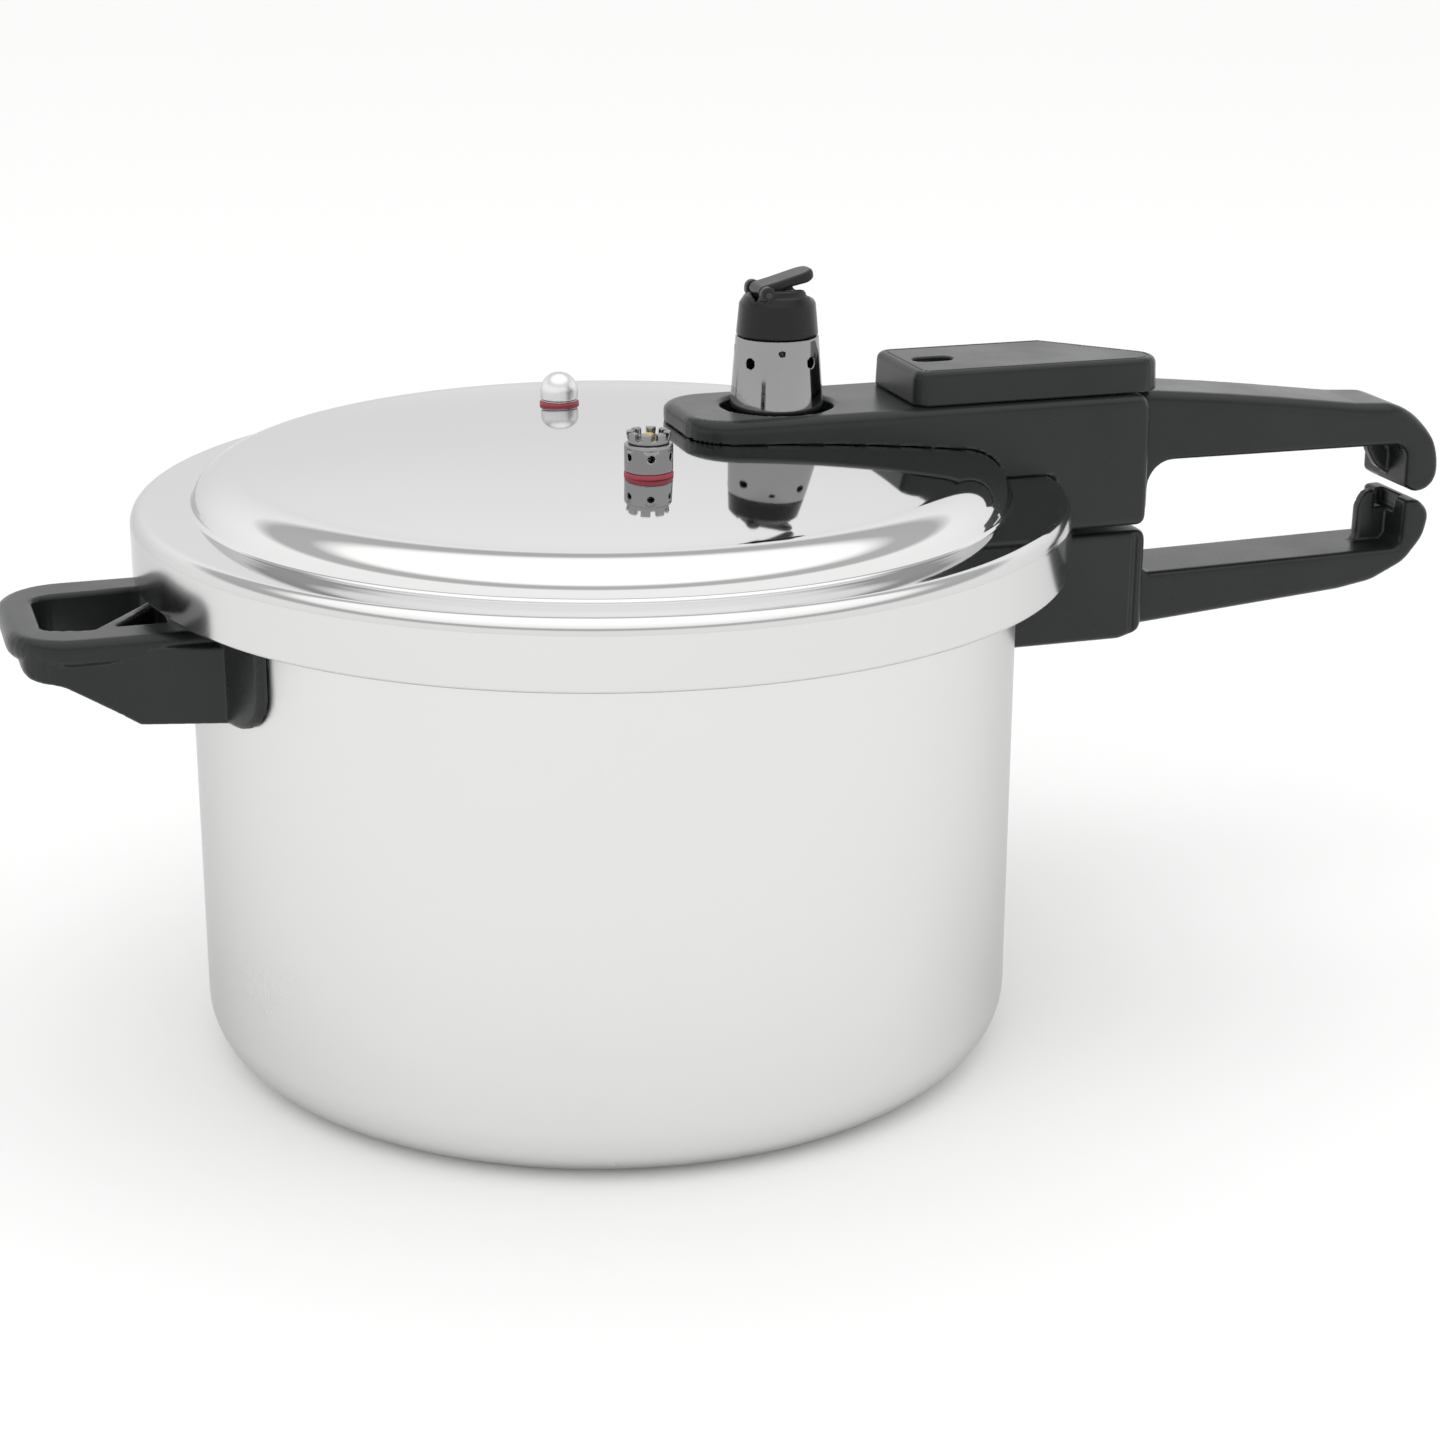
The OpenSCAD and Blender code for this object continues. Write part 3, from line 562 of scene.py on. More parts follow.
def makeScrewTree():
    # one slotted pan-head screw on every point of the base mesh, pointing up or down
    tree, entry, leave = newTree("screwsOnPoints", [
        ("Screw", "NodeSocketObject", None), ("Turned Over", "NodeSocketFloat", 0.0),
        ("Finish", "NodeSocketMaterial", None),
    ])
    screw = node(tree, "GeometryNodeObjectInfo", {"Object": entry.outputs["Screw"]}).outputs["Geometry"]
    spin = calc(tree, "MULTIPLY_ADD", flow(tree, "GeometryNodeInputIndex"), 0.9, 0.35)
    turn = flow(tree, "ShaderNodeCombineXYZ", {0: entry.outputs["Turned Over"], 2: spin})
    endTree(tree, entry, leave, flow(tree, "GeometryNodeInstanceOnPoints", {
        "Points": entry.outputs["Geometry"], "Instance": screw, "Rotation": turn}))
    return tree


coilTree, ringTree, screwTree = makeCoilTree(), makeRingTree(), makeScrewTree()


# ---- moulded shapes from rounded fields ----
# A field gives the distance from the surface, less than zero inside. x, y and z may be arrays.

pastAxis = -1e-3  # an outline that ends just past the axis leaves no surface on it


def outlineField(u, v, outline):
    nearest, inside = 1e9, False
    for (ax, ay), (bx, by) in zip(outline, outline[1:] + outline[:1]):
        ex, ey = bx - ax, by - ay
        if ex * ex + ey * ey < 1e-9:
            continue
        along = np.clip(((u - ax) * ex + (v - ay) * ey) / (ex * ex + ey * ey), 0, 1)
        nearest = np.minimum(nearest, (u - ax - along * ex) ** 2 + (v - ay - along * ey) ** 2)
        if ey:
            crosses = ((ay > v) != (by > v)) & (u < ax + (v - ay) * ex / ey)
            inside = inside ^ crosses
    return np.sqrt(nearest) * np.where(inside, -1, 1)


def roundMeet(a, b, r):
    return np.minimum(-r, np.maximum(a, b)) + np.hypot(np.maximum(r + a, 0), np.maximum(r + b, 0))


def roundJoin(a, b, r):
    return np.maximum(r, np.minimum(a, b)) - np.hypot(np.maximum(r - a, 0), np.maximum(r - b, 0))


def roundCut(a, b, r):
    return roundMeet(a, -b, r)


def postField(x, y, z, cx, cy, r, low, high, edge=0.4):
    return roundMeet(np.hypot(x - cx, y - cy) - r, np.maximum(low - z, z - high), edge)


def boxField(x, y, z, low, high, edge=0.4):
    flat = roundMeet(np.maximum(low[0] - x, x - high[0]), np.maximum(low[1] - y, y - high[1]), edge)
    return roundMeet(flat, np.maximum(low[2] - z, z - high[2]), edge)


def slopeOf(field, spots, reach):
    slope = np.empty_like(spots)
    for k in range(3):
        ahead, behind = spots.copy(), spots.copy()
        ahead[:, k] += reach
        behind[:, k] -= reach
        slope[:, k] = (field(*ahead.T) - field(*behind.T)) / (2 * reach)
    return slope


def netOver(field, low, high, step):
    # one point in every grid cell that the surface crosses, and one face for every grid edge it crosses
    axes = [np.arange(a - 1.5 * step, b + 2.5 * step, step) for a, b in zip(low, high)]
    grid = np.meshgrid(*axes, indexing="ij", sparse=True)
    level = np.broadcast_to(field(*grid), [len(a) for a in axes]).copy()
    level[level == 0] = 1e-6
    solid = level < 0
    shape = np.array(level.shape) - 1
    total, hits, loose = np.zeros((*shape, 3)), np.zeros(shape), []
    for axis in range(3):
        near, far = [slice(None)] * 3, [slice(None)] * 3
        near[axis], far[axis] = slice(0, -1), slice(1, None)
        a, b = level[tuple(near)], level[tuple(far)]
        found = np.argwhere(solid[tuple(near)] != solid[tuple(far)])
        at = tuple(found.T)
        spots = found.astype(float)
        spots[:, axis] += a[at] / (a[at] - b[at])
        first, second = [k for k in range(3) if k != axis]
        cells = []
        for stepBack in ((1, 1), (0, 1), (0, 0), (1, 0)):
            cell = found.copy()
            cell[:, first] -= stepBack[0]
            cell[:, second] -= stepBack[1]
            np.add.at(total, tuple(cell.T), spots)
            np.add.at(hits, tuple(cell.T), 1)
            cells.append(cell)
        loose.append((cells, solid[tuple(near)][at] ^ (axis == 1)))
    used = hits > 0
    number = np.full(shape, -1)
    number[used] = np.arange(used.sum())
    faces = []
    for cells, forward in loose:
        quad = np.stack([number[tuple(c.T)] for c in cells], 1)
        faces.append(np.where(forward[:, None], quad, quad[:, ::-1]))
    spots = total[used] / hits[used][:, None] * step + np.array([a[0] for a in axes])
    return spots, np.concatenate(faces)


def moulded(name, field, low, high, step, finish):
    spots, faces = netOver(field, low, high, step)
    for _ in range(3):  # pull the points onto the true surface
        slope = slopeOf(field, spots, 0.02)
        steep = np.maximum((slope ** 2).sum(1), 0.25)
        move = (field(*spots.T) / steep)[:, None] * slope
        far = np.linalg.norm(move, axis=1) / (0.45 * step)
        spots -= move / np.maximum(far, 1)[:, None]
    slope = slopeOf(field, spots, 0.05)
    normals = slope / np.maximum(np.linalg.norm(slope, axis=1), 1e-6)[:, None]
    mesh = bpy.data.meshes.new(name)
    mesh.from_pydata((spots / perMetre).tolist(), [], faces.tolist())
    mesh.shade_smooth()
    # how sharply the surface turns outwards, for the painted highlight along the convex edges
    bent = sum((slopeOf(field, spots, 0.6)[:, k] - normals[:, k]) * -normals[:, k] for k in range(3))
    edge = mesh.attributes.new("edge", "FLOAT", "POINT")
    edge.data.foreach_set("value", np.clip(bent * 6, 0, 1).astype(np.float32))
    mesh.normals_split_custom_set_from_vertices(normals.tolist())
    mesh.materials.append(finishes[finish])
    made = newObject(name, mesh)
    print("  ", name, len(faces), "faces")
    return made


# ---- pot ----

potSizes = {
    "wallR": 123.0, "wall": 3.0, "floor": 5.0, "cornerR": 17.0,
    "flangeR": 129.5, "flange": 3.0, "lugs": 6, "lugAngle": 23.0, "segments": 224,
}


def lugSolid(name, inner, outer, low, high, angle, steps=8):
    # one curved tooth, centred on +X, as a closed block
    lug = bmesh.new()
    rings = []
    for i in range(steps + 1):
        a = math.radians(angle * (i / steps - 0.5))
        rings.append([lug.verts.new((r / perMetre * math.cos(a), r / perMetre * math.sin(a), z / perMetre))
                      for r, z in ((inner, low), (outer, low), (outer, high), (inner, high))])
    for one, two in zip(rings, rings[1:]):
        for k in range(4):
            lug.faces.new((one[k], one[(k + 1) % 4], two[(k + 1) % 4], two[k]))
    lug.faces.new(rings[0][::-1])
    lug.faces.new(rings[-1])
    bmesh.ops.recalc_face_normals(lug, faces=lug.faces)
    upright = [e for e in lug.edges
               if e.calc_face_angle(0) > 0.8 and abs(e.verts[0].co.z - e.verts[1].co.z) > 1e-4]
    bmesh.ops.bevel(lug, geom=upright, offset=0.0012, segments=3, affect="EDGES", profile=0.5)
    mesh = bpy.data.meshes.new(name)
    lug.to_mesh(mesh)
    lug.free()
    return newObject(name, mesh)


def dropObject(made):
    mesh = made.data
    bpy.data.objects.remove(made)
    bpy.data.meshes.remove(mesh)


def makePot():
    p = potSizes
    outer, inner = p["wallR"], p["wallR"] - p["wall"]
    innerCorner = p["cornerR"] - p["wall"]
    base = [(0, 0.6), (40, 0.6), (41, 0.0)]
    outside = arcOf(outer - p["cornerR"], p["cornerR"], p["cornerR"], -90, 0, 14)
    rim = roundedLine([
        (outer, p["cornerR"] + 6, 0), (outer, rimZ - p["flange"] - 2, 1.2), (outer + 2.2, rimZ - p["flange"], 1.2),
        (p["flangeR"], rimZ - p["flange"], 0.9), (p["flangeR"], rimZ, 0.9), (inner, rimZ, 0.9),
        (inner, rimZ - 12, 0)], steps=5)
    inside = arcOf(inner - innerCorner, p["floor"] + innerCorner, innerCorner, 0, -90, 10)
    floor = [(80, p["floor"]), (40, p["floor"]), (0, p["floor"])]
    pot = turned("potBody", base + outside + rim + inside + floor, "satinAluminium", segments=p["segments"],
                 weighted=False)
    lug = lugSolid("potLug", p["flangeR"] - 1.6, lugR, rimZ - p["flange"] + 0.1, rimZ - 0.1, p["lugAngle"])
    growTree(pot, ringTree, Copy=lug, Count=p["lugs"], First=math.pi / p["lugs"], Finish=finishes["satinAluminium"])
    dropObject(lug)
    cleanShell(pot)
    place(pot, "pot", "pot_body", "satin_aluminium")


makePot()
print("pot made")


# ---- lid ----

lidSizes = {
    "wall": 3.0, "ringZ": 168.0, "ringFillet": 4.5, "stepR": 120.5, "crownR": 106.0, "stepRise": 10.0,
    "lugInner": 130.5, "lugLow": 149.5, "lug": 3.0, "segments": 256, "ringSpacing": 3.4, "stemR": 4.0,
}


def crownAt(r):
    rise = crownZ - lidSizes["ringZ"] - lidSizes["stepRise"]
    return crownZ - rise * (r / lidSizes["crownR"]) ** 2


def lidLine(t, inFillet=1.4):
    # from the middle of the crown to the foot of the skirt, t below the outer surface
    s = lidSizes
    rings = round(s["crownR"] / s["ringSpacing"])
    crown = [(s["crownR"] * i / rings, crownAt(s["crownR"] * i / rings) - t) for i in range(rings + 1)]
    width = s["stepR"] - s["crownR"]
    step = [(s["crownR"] - 0.3 * t + (width - 0.7 * t) * math.sin(math.radians(a)),
             s["ringZ"] - t + s["stepRise"] * math.cos(math.radians(a))) for a in range(5, 90, 5)]
    crown = [p for p in crown if p[0] < step[0][0] - 0.4]
    foot = step[-1][0] + 0.05
    hollow = arcOf(foot + inFillet, s["ringZ"] - t + inFillet, inFillet, 180, 270, 5)
    step = [p for p in step if p[1] > hollow[0][1]]
    fillet = s["ringFillet"] - min(t, s["ringFillet"] - 1)
    shoulder = arcOf(lidR - s["ringFillet"], s["ringZ"] - s["ringFillet"], fillet, 90, 0, 10)
    return crown + step + hollow + shoulder


def makeLid():
    s = lidSizes
    outside, inside = lidLine(0), lidLine(s["wall"], 2.6)
    hem = roundedLine([(lidR, skirtZ + 6, 0), (lidR, skirtZ, 1.2), (lidR - s["wall"], skirtZ, 1.2),
                       (lidR - s["wall"], skirtZ + 6, 0)], steps=5)
    lid = turned("lidShell", outside + hem + inside[::-1], "mirrorAluminium", segments=s["segments"],
                 weighted=False)
    lug = lugSolid("lidLug", s["lugInner"], lidR - 1.4, s["lugLow"], s["lugLow"] + s["lug"], potSizes["lugAngle"])
    lugs = potSizes["lugs"]
    growTree(lid, ringTree, Copy=lug, Count=lugs, First=math.pi / lugs, Finish=finishes["mirrorAluminium"])
    dropObject(lug)
    low, high = crownZ - 22, crownZ + 6
    r = s["stemR"]
    drill = turned("stemDrill", [(0, low), (r, low), (r, high), (0, high)], "plainSteel", segments=32)
    for x, y in ((ventX, 0), (0, indicatorY), (0, -reliefY)):
        one = newObject("drill", drill.data.copy())
        one.data.transform(Matrix.Translation((x / perMetre, y / perMetre, 0)))
        cutWith(lid, one)
    dropObject(drill)
    cleanShell(lid)
    place(lid, "lid", "lid_shell", "polished_aluminium")


makeLid()
print("lid made")


# ---- gasket under the lid ----

gasketSizes = {"inner": 121.5, "outer": 135.1, "low": 158.05, "top": 164.8, "edge": 0.5}


def makeGasket():
    s = gasketSizes
    top, edge = s["top"], s["edge"]
    # a channel open to the inside, so that steam presses its two lips apart
    outline = roundedLine([
        (s["inner"], s["low"], 0.3), (133.4, s["low"], edge), (134, 159.2, edge), (s["outer"], 159.2, edge),
        (s["outer"], top - 1.4, edge), (s["outer"] - 1.4, top, edge), (123.5, top, edge), (122, top - 1.6, 0.3),
        (128, top - 2.4, edge), (129, top - 3, edge), (129, 160.8, edge), (128, 160.2, edge),
        (s["inner"], 159.6, 0.3)], closed=True, steps=3)
    gasket = turned("lidGasket", outline, "greyRubber", segments=160, closed=True)
    place(gasket, "seal", "gasket", "grey_rubber")


makeGasket()
print("gasket made")


# ---- long handle, upper half ----

upperHandle = {
    "neckW": 46.0, "noseR": 15.0, "neckEnd": 169.0, "topEdge": 3.8, "gripW": 29.0, "gripTopEdge": 4.6,
    "gripLowEdge": 2.2, "holeR": 17.0, "holeLip": 1.3, "seat": 0.06, "step": 1.1,
}
boltX, boltR = 154.0, 3.1
webHalf = 2.0  # half the thickness of the webs inside both hooks
sideways = 23.0  # half the width that the handles are worked out in


def lidCover():
    # everything that the closed lid covers, as radius and height
    return [(0, skirtZ - 40), (pastAxis, crownZ)] + lidLine(0)[1::2] + [(lidR, skirtZ), (lidR, skirtZ - 40)]


def upperHandleField():
    s = upperHandle
    side = roundedLine([
        (noseX, skirtZ - 5, 0), (noseX, armTop, 2.0), (s["neckEnd"], armTop, 6.5), (s["neckEnd"], neckLow, 3.5),
        (90, neckLow, 0)], steps=6)
    half = s["neckW"] / 2
    plan = roundedLine([(noseX, -half, s["noseR"]), (s["neckEnd"], -half, 4.5), (s["neckEnd"], half, 4.5),
                        (noseX, half, s["noseR"])], closed=True, steps=8)
    rear, under = s["neckEnd"], 166.8
    grip = roundedLine([
        (rear - 10, neckLow + 1, 0), (rear + 2.6, neckLow + 1, 3), (rear + 2.6, under + 0.6, 13),
        (262.8, under - 0.2, 5), (262.8, 152.8, 2), (265.8, neckLow + 1.7, 0)], steps=6)
    grip += arcOf(267.4, neckLow + 8.0, 6.5, -100, -4, 8) + arcOf(gripEnd - 22.5, neckLow + 8.6, 22.5, 2, 78, 14)
    grip += [(245, 180.6), (230, 182.6), (215, 184.6), (200, 186.4), (185, 188.0), (rear, armTop - 0.9),
             (rear - 10, armTop)]
    web = roundedLine([(254.9, 170, 0), (255, 163, 5), (258.5, 157.2, 7), (264.5, 153.6, 8), (269, 152.6, 1),
                       (270, 160, 0), (266, 172, 0)], closed=True, steps=5)
    cover = lidCover()

    def field(x, y, z):
        across = np.abs(y)
        arm = roundMeet(outlineField(x, z, side), outlineField(x, y, plan), s["topEdge"])
        rise = np.clip((z - 170 + np.clip(x - 235, 0, 40) * 0.1) / 8, 0, 1)
        edge = s["gripLowEdge"] + (s["gripTopEdge"] - s["gripLowEdge"]) * rise * rise * (3 - 2 * rise)
        hooked = roundMeet(outlineField(x, z, grip), across - s["gripW"] / 2, edge)
        rib = roundMeet(outlineField(x, z, web), across - webHalf, 0.7)
        body = roundJoin(roundJoin(arm, hooked, 1.6), rib, 0.7)
        body = roundCut(body, outlineField(np.hypot(x, y), z, cover) - s["seat"], 0.1)
        body = roundCut(body, np.hypot(x - ventX, y) - s["holeR"], s["holeLip"])
        body = roundCut(body, postField(x, y, z, boltX, 0, boltR, neckLow - 5, armTop + 5), 0.4)
        return body
    return field


def makeUpperHandle():
    handle = moulded("lidHandle", upperHandleField(), (noseX, -sideways, neckLow), (gripEnd, sideways, armTop),
                     upperHandle["step"], "charcoalPlastic")
    place(handle, "lid", "lid_handle", "black_plastic")


makeUpperHandle()


# ---- raised cover of the handle ----

coverSizes = {
    "left": 91.5, "half": 20.0, "farX": 147.5, "nearX": 184.3, "nearR": 9.0, "gap": 0.25, "topEdge": 2.2,
    "grooveIn": 2.6, "groove": 0.35, "slotX": 104.0, "slotR": 3.4, "slotHalf": 3.0, "wall": 2.4, "step": 0.8,
}


def makeCover():
    s = coverSizes
    plan = roundedLine([
        (s["left"], -s["half"], 5.5), (s["nearX"], -s["half"], s["nearR"]), (s["farX"], s["half"], 3.0),
        (s["left"], s["half"], 5.5)], closed=True, steps=9)
    low = armTop + s["gap"]

    def field(x, y, z):
        flat = outlineField(x, y, plan)
        draft = (z - low) * 0.04  # the walls lean in a little towards the top
        block = roundMeet(flat + draft, z - coverTop, s["topEdge"])
        block = roundMeet(block, low - z, 0.5)
        hollow = np.maximum(flat + s["wall"], z - (coverTop - 2.5))
        body = roundCut(block, hollow, 0.3)
        slot = np.hypot(np.maximum(np.abs(x - s["slotX"]) - s["slotHalf"], 0), y) - s["slotR"]
        body = roundCut(body, slot, 0.5)
        line = np.hypot(flat + s["grooveIn"] + draft, z - coverTop) - s["groove"]
        return roundCut(body, line, 0.15)
    cover = moulded("handleCover", field, (s["left"], -s["half"], low), (s["nearX"] - 10, s["half"], coverTop),
                    s["step"], "charcoalPlastic")
    place(cover, "lid", "handle_cover", "black_plastic")


makeCover()
print("upper handle and cover made")


# ---- long handle, lower half ----

lowerHandle = {
    "blockW": 42.0, "blockEnd": 169.6, "gripW": 29.0, "edge": 2.4, "gripEdge": 2.6, "grooveX": 164.6,
    "groove": 0.9, "step": 1.1,
}
tongueZ, tongueT = 126.0, 8.0


def lowerHandleField():
    s = lowerHandle
    gapLow = neckLow - 2
    half = s["blockW"] / 2
    side = roundedLine([
        (110, blockLow, 0), (161, blockLow, 5), (s["blockEnd"], blockLow + 2.6, 4), (s["blockEnd"], gapLow, 3.2),
        (110, gapLow, 0)], closed=True, steps=6)
    plan = roundedLine([(110, -half, 0), (s["blockEnd"], -half, 4.2), (s["blockEnd"], half, 4.2), (110, half, 0)],
                       closed=True, steps=6)
    gripTop = 131.5
    grip = roundedLine([
        (160, blockLow + 0.6, 0), (170, blockLow + 2.2, 12), (241, blockLow + 7.6, 30), (253, blockLow + 9.6, 14),
        (264.5, blockLow + 15, 12), (271, blockLow + 23, 12), (272.6, gapLow - 3.5, 6), (268.5, gapLow + 0.6, 3),
        (263.4, gapLow + 0.4, 1.5), (263.0, gripTop + 1.2, 3.5), (s["blockEnd"] + 1.4, gripTop, 8),
        (s["blockEnd"] + 0.6, gapLow - 8, 4), (160, gapLow - 6, 0)], closed=True, steps=7)
    web = roundedLine([
        (246, gripTop - 4, 0), (246, gripTop + 0.2, 0), (253.0, gripTop + 0.2, 7), (253.2, gapLow - 3, 4),
        (255.5, gapLow + 1.6, 3), (262.5, gapLow + 2.0, 2), (266, gapLow - 4, 1), (266, gripTop - 4, 0)],
        closed=True, steps=6)

    def field(x, y, z):
        across = np.abs(y)
        r = np.hypot(x, y)
        block = roundMeet(outlineField(x, z, side), outlineField(x, y, plan), s["edge"])
        hooked = roundMeet(outlineField(x, z, grip), across - s["gripW"] / 2, s["gripEdge"])
        rib = roundMeet(outlineField(x, z, web), across - webHalf, 0.7)
        body = roundJoin(roundJoin(block, hooked, 2.0), rib, 0.7)
        groove = np.hypot(x - s["grooveX"], across - half) - s["groove"]
        body = roundCut(body, groove, 0.3)
        # the notch in the top of the hook
        body = roundCut(body, boxField(x, y, z, (259.0, -6.0, gapLow - 4.5), (266.0, 6.0, gapLow + 9)), 0.5)
        body = roundMeet(body, potSizes["wallR"] + 0.15 - r, 0.8)
        strap = boxField(x, y, z, (115, -18, tongueZ - 6.3), (125.4, 18, tongueZ + 14.3), 0.2)
        tongue = boxField(x, y, z, (115, -7.3, tongueZ - 0.2), (157.6, 7.3, tongueZ + tongueT + 0.2), 0.2)
        body = roundCut(body, np.minimum(strap, tongue), 0.2)
        for cx in (137, 149):
            ways = np.minimum(postField(x, y, z, cx, 0, 4.7, blockLow - 5, blockLow + 4),
                              postField(x, y, z, cx, 0, 2.6, blockLow - 5, tongueZ + tongueT))
            body = roundCut(body, ways, 0.4)
        return roundCut(body, postField(x, y, z, boltX, 0, 6.05, gapLow - 10, gapLow + 9), 0.4)
    return field


def makeLowerHandle():
    low, high = boxOf("pot_handle")
    handle = moulded("potHandle", lowerHandleField(), (low[0] - 1, -21.5, low[2] - 1),
                     (high[0] + 2, 21.5, high[2] + 1.5), lowerHandle["step"], "charcoalPlastic")
    place(handle, "pot", "pot_handle", "black_plastic")


makeLowerHandle()


# ---- helper handle ----

helperSizes = {
    "half": 33.0, "noseR": 19.0, "railH": 7.4, "railEdge": 3.4, "inset": 2.2, "padHalf": 54.5, "pad": 3.0,
    "padCorner": 13.5, "padEdge": 1.2, "flare": 8.0, "step": 1.1,
}


def makeHelper():
    s = helperSizes
    low, high = footOf("helper_handle"), topOf("helper_handle")
    end, half, wallR = -helperEnd, s["half"], potSizes["wallR"]
    plan = roundedLine([(-108, -half, 0), (-108, half, 0), (end, half, s["noseR"]), (end, -half, s["noseR"])],
                       closed=True, steps=10)
    flare = roundedLine([
        (-108, -half - s["flare"], 0), (-119, -half - s["flare"], 0.5), (-150, -half, 60), (end, -half, s["noseR"]),
        (end, half, s["noseR"]), (-150, half, 60), (-119, half + s["flare"], 0.5), (-108, half + s["flare"], 0)],
        closed=True, steps=10)
    side = roundedLine([
        (end + 3, high - 3, 0), (-108, high - 3, 0), (-108, low, 0), (-143, low, 1.5), (end + 13.5, high - 13, 9),
        (end + 3, high - 11, 4)], closed=True, steps=5)
    opening = roundedLine([(end + 10, -17, 5), (-153.5, -20.5, 2), (-132.5, 7.5, 2), (-132.5, 19, 5),
                           (end + 10, 17, 6)], closed=True, steps=5)
    pocket = roundedLine([(-147.5, -19.5, 1.2), (-132.5, -19.5, 1.2), (-132.5, 0.8, 1.2)], closed=True, steps=4)
    foot = roundedLine([
        (-s["padHalf"], high - 0.5, 0), (s["padHalf"], high - 0.5, 0), (s["padHalf"], low, s["padCorner"]),
        (-s["padHalf"], low, s["padCorner"])], closed=True, steps=8)

    def field(x, y, z):
        across, r = outlineField(x, y, plan), np.hypot(x, y)
        rail = roundMeet(across, np.abs(z - high + s["railH"] / 2) - s["railH"] / 2, s["railEdge"])
        panel = roundMeet(outlineField(x, y, flare) + s["inset"], outlineField(x, z, side), 1.2)
        body = np.minimum(rail, panel)
        body = roundCut(body, outlineField(x, y, opening), 1.4)
        # a shallow pocket on the other side of the slanting web
        body = roundCut(body, np.maximum(outlineField(x, y, pocket), high - 5.5 - z), 0.6)
        # the pad that lies on the pot's wall
        wrap = np.maximum(roundMeet(r - (wallR + s["pad"]), outlineField(y, z, foot), s["padEdge"]), x)
        body = np.minimum(np.maximum(body, wallR + 1 - r), wrap)
        body = roundMeet(body, wallR + 0.15 - r, 0.5)
        strap = np.maximum(np.maximum(r - 125.4, np.abs(z - tongueZ - 4) - 5.4), np.abs(y) - 34.5)
        body = roundCut(body, strap, 0.2)
        for cy in (-25, 25):
            tongue = boxField(x, y, z, (-138.3, cy - 5.3, tongueZ - 0.2),
                              (-115, cy + 5.3, tongueZ + tongueT + 0.2), 0.2)
            ways = np.minimum(postField(x, y, z, -132, cy, 4.7, low - 5, low + 4),
                              postField(x, y, z, -132, cy, 2.6, low - 5, tongueZ + tongueT))
            body = roundCut(body, np.minimum(tongue, ways), 0.3)
        return body
    handle = moulded("helperHandle", field, (end, -57.5, low), (-108, 57.5, high), s["step"], "charcoalPlastic")
    place(handle, "pot", "helper_handle", "black_plastic")


makeHelper()
print("pot handles made")


# ---- weight on the vent pipe ----

weightSizes = {
    "lowR": 14.3, "topR": 12.4, "ports": 4, "firstPort": 33.0, "portR": 1.55, "portDrop": 7.0, "smallPortR": 0.85,
    "capLowR": 12.3, "capTopR": 11.0, "tabTilt": 15.0, "tabLength": 17.1, "tabHalf": 5.4,
    "step": 0.5,
}


def aroundAxis(x, y, cx, cy, first, count):
    # folds the turn about an upright axis into one sector, as radius and sideways distance
    turn = np.arctan2(y - cy, x - cx) - math.radians(first)
    sector = math.tau / count
    turn = (turn + sector / 2) % sector - sector / 2
    r = np.hypot(x - cx, y - cy)
    return r * np.cos(turn), r * np.sin(turn)


def makeWeightBody():
    s = weightSizes
    nozzle = footOf("weight_needle") + 2.4
    outline = roundedLine([
        (4.5, weightLow + 2.6, 0.3), (7.5, weightLow + 2.6, 0.3), (7.5, weightLow, 0.4), (s["lowR"], weightLow, 1.0),
        (s["topR"], weightMid, 0.5), (3.6, weightMid, 0), (3.6, nozzle, 0), (4.5, nozzle, 0)], closed=True, steps=4)

    def field(x, y, z):
        body = outlineField(np.hypot(x - ventX, y), z, outline)
        for turn, up, r in ((0, 0, s["portR"]), (180 / s["ports"], 3.4, s["smallPortR"])):
            out, aside = aroundAxis(x, y, ventX, 0, s["firstPort"] + turn, s["ports"])
            port = np.maximum(np.hypot(aside, z - weightMid + s["portDrop"] - up) - r, 5.2 - out)
            body = roundCut(body, port, 0.12)
        return body
    body = moulded("weightBody", field, (ventX - 14.4, -14.4, weightLow), (ventX + 14.4, 14.4, weightMid),
                   s["step"], "chromePlate")
    place(body, "weight", "weight_body", "chrome")


def makeWeightCap():
    s = weightSizes
    tabX, tabZ = middleOf("weight_tab_pin")[0], middleOf("weight_tab_pin")[2]
    top = tabZ - 0.7
    outline = roundedLine([
        (pastAxis, weightMid + 0.15, 0), (s["capLowR"], weightMid + 0.15, 0.7),
        (s["capTopR"] + 0.4, top - 3.0, 1.5), (s["capTopR"] - 1.2, top - 0.6, 1.0), (9.2, top - 0.3, 0.4),
        (8.6, top + 1.6, 1.2), (pastAxis, top + 1.6, 0)], steps=5)

    def field(x, y, z):
        body = outlineField(np.hypot(x - ventX, y), z, outline)
        ear = roundMeet(np.hypot(x - tabX, np.maximum(z - tabZ, 0)) - 2.3, np.abs(np.abs(y) - 7) - 1.5, 0.5)
        ear = np.maximum(ear, top - 1 - z)
        body = roundJoin(body, ear, 0.5)
        seat = boxField(x, y, z, (tabX - 3.2, -5.6, tabZ - 2.6), (tabX + 30, 5.6, top + 20), 0.3)
        body = roundCut(body, seat, 0.3)
        return roundCut(body, np.maximum(np.hypot(x - tabX, z - tabZ) - 1.02, np.abs(y) - 30), 0.1)
    cap = moulded("weightCap", field, (ventX - 12.6, -12.6, weightMid), (ventX + 12.6, 12.6, tabZ + 2.4),
                  s["step"], "capPlastic")
    place(cap, "weight", "weight_cap", "black_plastic")


